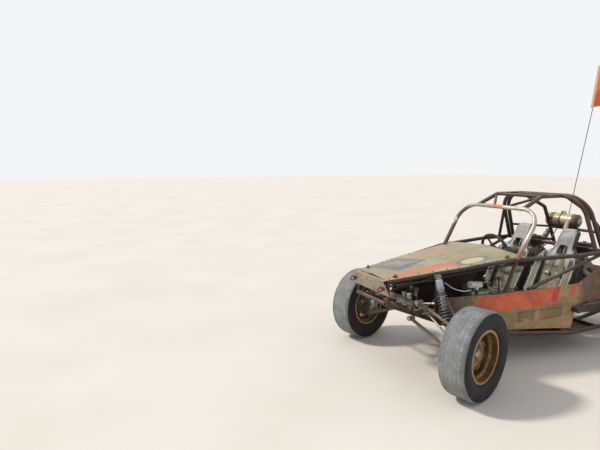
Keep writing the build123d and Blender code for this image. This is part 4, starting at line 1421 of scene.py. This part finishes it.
def build_fasteners():
    """Screws, rivets and bolt heads, each row dropped on the sheet or casting that it holds."""
    tree, keys = scatter_tree()
    bright = metal("screw_steel", (150, 142, 128), (96, 84, 70), roughness=0.45, grime=0.5)
    dark = metal("rivet_steel", (96, 84, 68), (70, 58, 46), roughness=0.6, grime=0.6,
                 metallic=0.5)
    hood, panels, nose, shroud, heads, box, case, dash = (surface_of(name)
                                                          for name in ("hood", "side_panels", "nose_plate",
                                                                       "fan_shroud", "cylinder_banks",
                                                                       "transaxle", "engine_case", "dash"))
    screws, rivets, bolts = [], [], []
    for side in (1, -1):
        near = spaced(at_station(side * 0.198, -0.36, 1.1), at_station(side * 0.300, 0.15, 1.1), 5)
        far = spaced(at_station(side * 0.318, 0.26, 1.2), at_station(side * 0.430, 0.87, 1.2), 6)
        screws += seats_on(hood, near + far, (0, 0, -1))
        # Rows along the panel's upper and lower edges: first and last station and height, and how many
        for first, first_z, last, last_z, count in (
                (0.10, 0.640, 0.62, 0.634, 6), (0.72, 0.638, 1.46, 0.670, 8), (1.54, 0.700, 1.85, 0.785, 4),
                (0.12, 0.432, 0.70, 0.345, 6), (0.80, 0.334, 1.41, 0.288, 7), (1.58, 0.518, 1.86, 0.520, 3)):
            starts = spaced(at_station(side * 0.8, first, first_z), at_station(side * 0.8, last, last_z),
                            count)
            rivets += seats_on(panels, starts, (-side, 0, 0))
        screws += seats_on(nose, spaced((side * 0.03, -2.2, 0.80), (side * 0.235, -2.2, 0.73), 3), (0, 1, 0))
        for surface, x, stations, heights, way in ((heads, 0.8, (1.965, 2.085, 2.205), (0.385, 0.455),
                                                    (-side, 0, 0)),
                                                   (box, 0.5, (2.33, 2.58, 2.66), (0.33, 0.45),
                                                    (-side, 0, 0)),
                                                   (case, 0.12, (1.7,), (0.31, 0.42, 0.53), (0, 1, 0))):
            bolts += seats_on(surface, [at_station(side * x, y, z) for y in stations for z in heights], way)
        on_dash = [at_station(side * x, 1.3, z) for x, z in ((0.10, 0.86), (0.40, 0.86), (0.25, 0.94))]
        screws += seats_on(dash, on_dash, (0, -1, 0))
    arch = [at_station(0.255 * math.cos(a), 2.6, 0.64 + 0.150 * math.sin(a)) for a in turns(16)[:9]]
    screws += seats_on(shroud, arch, (0, -1, 0))
    for name, places, sides, radius, height, steel in (("sheet_screws", screws, 8, 0.0075, 0.005, bright),
                                                       ("sheet_rivets", rivets, 10, 0.0060, 0.003, dark),
                                                       ("engine_bolts", bolts, 6, 0.0090, 0.009, bright)):
        inputs = {"Sides": sides, "Radius": radius, "Height": height, "Finish": steel}
        piece(name, run_tree(points_mesh(places), tree, keys, inputs), steel, "bare_steel")


def hose(name, rows, radius, material):
    piece(name, pipe(rows, radius, 10), material, "black_trim")


def turned(profile, segments, matrix, wave=None):
    """Closed turned piece about Z from rows of (radius, height); wave changes the radius round the piece."""
    bm = bmesh.new()
    rows = []
    for r, h in profile:
        row = []
        for a in turns(segments):
            reach = r + (wave(a, h) if wave else 0.0)
            row.append(matrix @ Vector((reach * math.cos(a), reach * math.sin(a), h)))
        rows.append(ring(bm, row))
    loft(bm, rows)
    return mesh_from(bm, "turned")


def build_filters():
    """Pleated air filters with a lid and wing nut each."""
    pleats = black_trim("filter_pleats", tint=(34, 33, 32), dust=0.6)
    lid = metal("filter_lid", (70, 68, 66), (46, 44, 42), roughness=0.4, grime=0.5, metallic=0.6)
    low, high = (Vector(corner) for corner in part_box("air_filters"))
    radius = (high.y - low.y) / 2
    height = high.z - low.z
    for name, side in (("left", 1), ("right", -1)):
        matrix = Matrix.Translation((side * (high.x - radius), (low.y + high.y) / 2, low.z))
        body = [(radius - 0.006, 0.010)] + [(radius - 0.004, 0.012 + (height - 0.026) * k / 6)
                                            for k in range(7)]
        body += [(radius - 0.006, height - 0.012)]
        mesh = turned(body, 192, matrix, lambda a, h: 0.0028 * math.cos(48 * a))
        piece("filter_pleats_" + name, mesh, pleats, "black_trim", replaced="air_filters")
        base = turned([(radius - 0.004, 0.0), (radius, 0.002), (radius, 0.010), (radius - 0.003, 0.013)],
                      48, matrix)
        top = turned([(radius - 0.003, height - 0.014), (radius, height - 0.011), (radius, height - 0.005),
                      (radius - 0.006, height - 0.001), (radius * 0.45, height + 0.003),
                      (0.010, height + 0.004), (0.009, height + 0.012), (0.004, height + 0.013)], 48,
                     matrix)
        wing = block_mesh(matrix @ Vector((0, 0, height + 0.010)), (0.034, 0.005, 0.012))
        piece("filter_lids_" + name, joined([base, top, wing], "filter_lids"), lid, "black_trim",
              replaced="air_filters")


def build_engine_bay():
    """Belt, leads, fuel hoses and the tank's fittings."""
    rubber = black_trim("hose_rubber", tint=(26, 26, 27), roughness=0.6, dust=0.4)
    lead = black_trim("lead_rubber", tint=(96, 34, 30), roughness=0.5, dust=0.4)
    wrap = webbing("heat_wrap", (206, 196, 172), (178, 166, 140))
    # Height and radius of the two pulleys
    crank, upper = (0.420, 0.085), (0.650, 0.057)
    lean = math.asin((crank[1] - upper[1]) / (upper[0] - crank[0]))
    bm = bmesh.new()
    rows = []
    for (height, radius), start, sweep in ((upper, lean, math.pi - 2 * lean),
                                           (crank, math.pi - lean, math.pi + 2 * lean)):
        for k in range(17):
            a = start + sweep * k / 16
            out = Vector((math.cos(a), 0, math.sin(a)))
            middle = at_station(0, BELT_STATION, height) + out * radius
            rows.append(ring(bm, [middle + out * reach + Vector((0, dy, 0)) for reach,
                                  dy in ((0.0, -0.005), (0.0, 0.005), (0.007, 0.007), (0.007, -0.007))]))
    loft(bm, rows, closed=True)
    piece("drive_belt", mesh_from(bm, "belt", smooth=False), rubber, "black_trim")
    for k, (side, dy) in enumerate(((1, -0.07), (1, 0.07), (-1, -0.07), (-1, 0.07))):
        hose(f"ignition_lead_{k + 1}", [(0.075, ENGINE_STATION - 0.10, 0.600),
                                        (0.06 + 0.03 * k, ENGINE_STATION - 0.09, 0.700 + 0.01 * k),
                                        (side * 0.20, ENGINE_STATION + dy * 0.6, 0.640 + 0.012 * k),
                                        (side * 0.300, ENGINE_STATION + dy, 0.530),
                                        (side * 0.330, ENGINE_STATION + dy, 0.486)], 0.0042, lead)
    cap = turned([(0.030, 0.0), (0.034, 0.006), (0.034, 0.034), (0.028, 0.046), (0.012, 0.052)], 24,
                 Matrix.Translation(at_station(0.075, ENGINE_STATION - 0.10, 0.556)))
    piece("distributor_cap", cap, black_trim("distributor_plastic", tint=(60, 40, 30)), "black_trim")
    for side, name in ((1, "left"), (-1, "right")):
        hose("fuel_hose_" + name, [(-0.137 + side * 0.05, 2.232, 1.080),
                                   (-0.137 + side * 0.07, 2.215, 1.020), (side * 0.20, 2.10, 0.900),
                                   (side * 0.262, 2.035, 0.820), (side * 0.266, 2.020, 0.790)], 0.0055,
             rubber)
    hose("wrapped_pipe", [
        (-0.045, 2.190, 1.130), (-0.035, 2.150, 1.125), (-0.022, 2.115, 1.090), (-0.018, 2.090, 1.040),
        (-0.010, 2.075, 0.970), (0.004, 2.080, 0.860), (0.010, 2.085, 0.715)], 0.021, wrap)
    hose("brake_line", [(-0.20, -0.06, 0.560), (-0.22, 0.10, 0.440), (-0.30, 0.60, 0.300),
                        (-0.32, 1.20, 0.238), (-0.31, 1.84, 0.232)], 0.0032,
         metal("line_steel", (150, 140, 120), (110, 96, 78), roughness=0.5))


def dial(middle, radius, needle_turn, bezels, faces):
    """Round gauge that faces backwards; its ring and needle go with the bezels."""
    back = Matrix.Translation(middle) @ BACKWARDS
    bezels.append(turned([(radius, 0.0), (radius, 0.010), (radius - 0.003, 0.013), (radius - 0.006, 0.011),
                          (radius - 0.0065, 0.004)], 32, back))
    faces.append(turned([(radius - 0.007, 0.002), (radius - 0.007, 0.006)], 32, back))
    reach = radius * 0.3
    bezels.append(block_mesh(back @ Vector((reach * math.cos(needle_turn), reach * math.sin(needle_turn),
                                            0.0075)), (radius * 0.7, 0.0025, 0.0015),
                             back.to_3x3().to_4x4() @ Matrix.Rotation(needle_turn, 4, "Z")))


def build_dash():
    """Gauges and switches on the driver's side, on the right."""
    bezel = metal("gauge_bezel", (180, 178, 172), (130, 126, 120), roughness=0.3)
    face = black_trim("gauge_face", tint=(16, 16, 18), dust=0.25)
    bezels, faces = [], []
    # Place, radius and needle angle of each dial
    for x, z, radius, turn in ((-0.20, 0.900, 0.032, 2.2), (-0.28, 0.895, 0.040, 1.1),
                               (-0.36, 0.895, 0.026, 2.7)):
        dial(at_station(x, DIAL_STATION, z), radius, turn, bezels, faces)
    for k in range(5):
        middle = Matrix.Translation(at_station(-0.06 + 0.035 * k, DIAL_STATION + 0.004, 0.895))
        bezels.append(turned([(0.007, 0.0), (0.007, 0.006), (0.005, 0.008)], 12, middle @ BACKWARDS))
        tilt = Matrix.Rotation(-math.pi / 2 + (0.35 if k % 2 else -0.35), 4, "X")
        bezels.append(turned([(0.0022, 0.004), (0.0034, 0.024), (0.002, 0.027)], 10, middle @ tilt))
    dial(at_station(0.26, 0.994, 0.976), 0.038, 0.8, bezels, faces)
    pieces(("gauge_bezels", bezels, bezel, "black_trim"), ("gauge_faces", faces, face, "black_trim"))


def build_steering_grip():
    """Leather grip with finger rests and a stitched seam, on the steering wheel."""
    leather = black_trim("grip_leather", tint=(30, 28, 27), roughness=0.6, dust=0.35)
    axis = Vector(COLUMN_WAY).normalized()
    centre = at_station(*GRIP_CENTRE)
    side = axis.orthogonal().normalized()
    up = axis.cross(side)
    bm = bmesh.new()
    rows = []
    for a in turns(144):
        out = side * math.cos(a) + up * math.sin(a)
        row = []
        for j, b in enumerate(turns(16)):
            rest = 0.0012 * math.cos(24 * a) * max(0.0, -math.cos(b))
            seam = -0.0010 if j == 8 else 0.0
            size = GRIP_R + rest + seam
            row.append(centre + out * (GRIP_RING_R + size * math.cos(b)) + axis * size * math.sin(b))
        rows.append(ring(bm, row))
    loft(bm, rows, closed=True)
    piece("steering_grip", mesh_from(bm, "grip"), leather, "black_trim", "steering_wheel")


def coilover(low, top, body, start, end, coil_r, wire, coils):
    """Spring, adjusting rings and light upper sleeve of one damper, as meshes."""
    along = (top - low).normalized()
    side = along.orthogonal().normalized()
    up = along.cross(side)
    a, b = low.lerp(top, start), low.lerp(top, end)
    steps = int(coils * 20)
    points = []
    for k in range(steps + 1):
        t = k / steps
        angle = 2 * math.pi * coils * t
        points.append(a.lerp(b, t) + (side * math.cos(angle) + up * math.sin(angle)) * coil_r)
    spring = tube_along(points, wire, 8)
    upright = along.to_track_quat("Z", "Y").to_matrix().to_4x4()

    def collar(share, profile, segments=32, wave=None):
        profile = [(body + grow, height) for grow, height in profile]
        return turned(profile, segments, Matrix.Translation(low.lerp(top, share)) @ upright, wave)

    nuts = [collar(end + 0.025 + gap, [(0.002, 0.0), (0.010, 0.001), (0.010, 0.011), (0.002, 0.012)],
                   48, lambda around, height: 0.0012 * math.cos(12 * around)) for gap in (0.0, 0.030)]
    length = (top - low).length * (0.97 - end - 0.105)
    sleeve = collar(end + 0.095, [(0.001, 0.0), (0.007, 0.004), (0.007, length - 0.012),
                                  (0.004, length - 0.003), (body * -0.4, length)])
    return spring, joined(nuts, "nuts"), sleeve


def build_coilovers():
    coat = metal("coil_steel", (122, 124, 128), (70, 72, 76), roughness=0.28, dust=0.25,
                 grime=0.5, metallic=0.8)
    dark = black_trim("adjuster_anodising", tint=(38, 38, 44), roughness=0.4, dust=0.3)
    light = metal("sleeve_metal", (176, 180, 184), (140, 144, 148), roughness=0.34, grime=0.3,
                  metallic=0.5)
    springs, nuts, sleeves = [], [], []
    # Ends of each damper, body radius, start and end of its spring, coil and wire radius, and coils
    for low, top, *sizes in ((at_station(0.520, 0.022, 0.338), at_station(0.332, 0.030, 0.848), 0.023,
                              0.345, 0.695, 0.038, 0.0072, 7.5),
                             (at_station(0.588, 2.180, 0.470), at_station(0.326, 2.268, 1.010), 0.025,
                              0.285, 0.715, 0.042, 0.0078, 9.5)):
        for meshes, mesh in zip((springs, nuts, sleeves), coilover(low, top, *sizes)):
            meshes.extend((mesh, flipped(mesh)))
    piece("coil_springs", joined(springs, "coil_springs"), coat, "spring_grey", replaced="springs")
    pieces(("adjuster_rings", nuts, dark, "black_trim"), ("damper_sleeves", sleeves, light, "polished"))


def build_nose_fittings():
    """Master cylinders, pivot bolts, lines and loom under the open hood."""
    bright = metal("fitting_steel", (206, 202, 194), (160, 154, 146), roughness=0.3, grime=0.25)
    white = worn_paint("reservoir_plastic", (204, 202, 192), (176, 172, 158),
                       bare=(120, 108, 92), dust=0.4)
    black = black_trim("loom_sleeve", dust=0.08)
    tree, keys = scatter_tree()
    heads = [(at_station(side * x, station + way * 0.028, z), Vector((0, way, 0)))
             for x, station, z in ((0.252, -0.170, 0.505), (0.318, 0.185, 0.386), (0.278, -0.112, 0.640),
                                   (0.312, 0.150, 0.628))
             for side in (1, -1) for way in (1, -1)]
    metals = [run_tree(points_mesh(heads), tree, keys,
                       {"Sides": sides, "Radius": radius, "Height": height, "Finish": bright}) for sides,
              radius, height in ((6, 0.0125, 0.011), (20, 0.0190, 0.003))]
    pots = []
    for x in (-0.255, -0.175):
        barrel = Matrix.Translation(at_station(x, 0.215, 0.470)) @ Matrix.Rotation(math.pi / 2, 4, "X")
        metals.append(turned([(0.010, 0.0), (0.018, 0.004), (0.018, 0.100), (0.014, 0.112), (0.007, 0.120),
                              (0.007, 0.140)], 24, barrel))
        pots.append(turned([(0.012, 0.0), (0.012, 0.010), (0.021, 0.016), (0.021, 0.060), (0.023, 0.062),
                            (0.023, 0.074), (0.016, 0.078)], 28,
                           Matrix.Translation(at_station(x, 0.160, 0.484))))
    lines = [pipe(rows, radius) for radius,
             rows in ((0.0042, [(-0.255, 0.076, 0.470), (-0.235, 0.030, 0.455), (-0.120, 0.000, 0.440),
                                (0.060, 0.010, 0.452), (0.190, 0.060, 0.500), (0.262, 0.080, 0.560)]),
                      (0.0042, [(-0.175, 0.076, 0.470), (-0.150, 0.020, 0.480), (-0.050, -0.010, 0.470),
                                (0.090, -0.020, 0.500), (0.215, 0.020, 0.570), (0.286, 0.060, 0.660),
                                (0.300, 0.110, 0.760)]),
                      (0.0055, [(0.345, 0.385, 0.700), (0.350, 0.300, 0.700), (0.330, 0.200, 0.730),
                                (0.322, 0.110, 0.790)]))]
    path = [(0.246, -0.330, 0.795), (0.262, -0.200, 0.806), (0.288, 0.000, 0.812), (0.305, 0.200, 0.836),
            (0.345, 0.500, 0.862), (0.395, 0.800, 0.886)]
    loom = [pipe(path, 0.0075)] + [block_mesh(at_station(*row), (0.019, 0.010, 0.019)) for row in path[1:-1]]
    metals.append(block_mesh(at_station(0.262, 0.088, 0.566), (0.030, 0.014, 0.030)))
    pieces(("nose_fittings", metals, bright, "bare_steel"), ("fluid_pots", pots, white, "polished"),
           ("braided_lines", lines, bright, "bare_steel"), ("wiring_loom", loom, black, "black_trim"))


def build_drive_boots():
    """Pleated boots at both ends of the half shafts, with their bands."""
    rubber = black_trim("boot_rubber", tint=(28, 27, 27), roughness=0.7, dust=0.6)
    band = metal("boot_band", (150, 146, 138), (112, 106, 98))
    low, high = (Vector(corner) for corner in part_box("half_shafts"))
    profile = [(0.050, 0.0), (0.052, 0.010), (0.048, 0.016)]
    for k in range(4):
        reach = 0.050 - 0.006 * k
        profile += [(reach - 0.008, 0.020 + 0.016 * k), (reach, 0.028 + 0.016 * k)]
    profile += [(0.020, 0.090), (0.019, 0.104)]
    boots, bands = [], []
    for start, way in ((0.166, 1), (0.560, -1)):
        place = Matrix.Translation((start, (low.y + high.y) / 2, (low.z + high.z) / 2))
        place = place @ Matrix.Rotation(way * math.pi / 2, 4, "Y")
        boots.append(turned(profile, 40, place))
        for height, radius in ((0.005, 0.0535), (0.098, 0.0215)):
            bands.append(turned([(radius - 0.004, height - 0.004), (radius, height - 0.004),
                                 (radius, height + 0.004), (radius - 0.004, height + 0.004)], 40, place))
    pieces(("drive_boots", boots + [flipped(mesh) for mesh in boots], rubber, "black_trim"),
           ("boot_bands", bands + [flipped(mesh) for mesh in bands], band, "bare_steel"))


def build_hood_pins():
    """A pin with its plate at each corner of the hood."""
    plate = metal("pin_plate", (110, 60, 50), (74, 46, 40), roughness=0.5, metallic=0.4)
    meshes = []
    starts = [at_station(side * x, station, 1.1) for x,
              station in ((0.192, -0.295), (0.375, 0.760)) for side in (1, -1)]
    for place, normal in seats_on(surface_of("hood"), starts, (0, 0, -1)):
        matrix = Matrix.Translation(place) @ normal.to_track_quat("Z", "Y").to_matrix().to_4x4()
        meshes.append(turned([(0.021, 0.0), (0.024, 0.0008), (0.024, 0.0025), (0.013, 0.0035),
                              (0.011, 0.0012)], 28, matrix))
        meshes.append(turned([(0.0055, 0.001), (0.0055, 0.022), (0.003, 0.026)], 14, matrix))
        clip = [matrix @ Vector((0.016 * math.cos(a) + 0.010, 0.009 * math.sin(a), 0.015)) for a in turns(20)]
        meshes.append(tube_along(clip, 0.0014, 6, closed=True))
    pieces(("hood_pins", meshes, plate, "bare_steel"))


build_camera()
build_light()
build_floor()
coat_nodes()
build_wheels()
build_seats()
build_flag()
build_fasteners()
build_filters()
build_engine_bay()
build_dash()
build_steering_grip()
build_coilovers()
build_nose_fittings()
build_drive_boots()
build_hood_pins()

bpy.context.scene.view_settings.view_transform = "Standard"
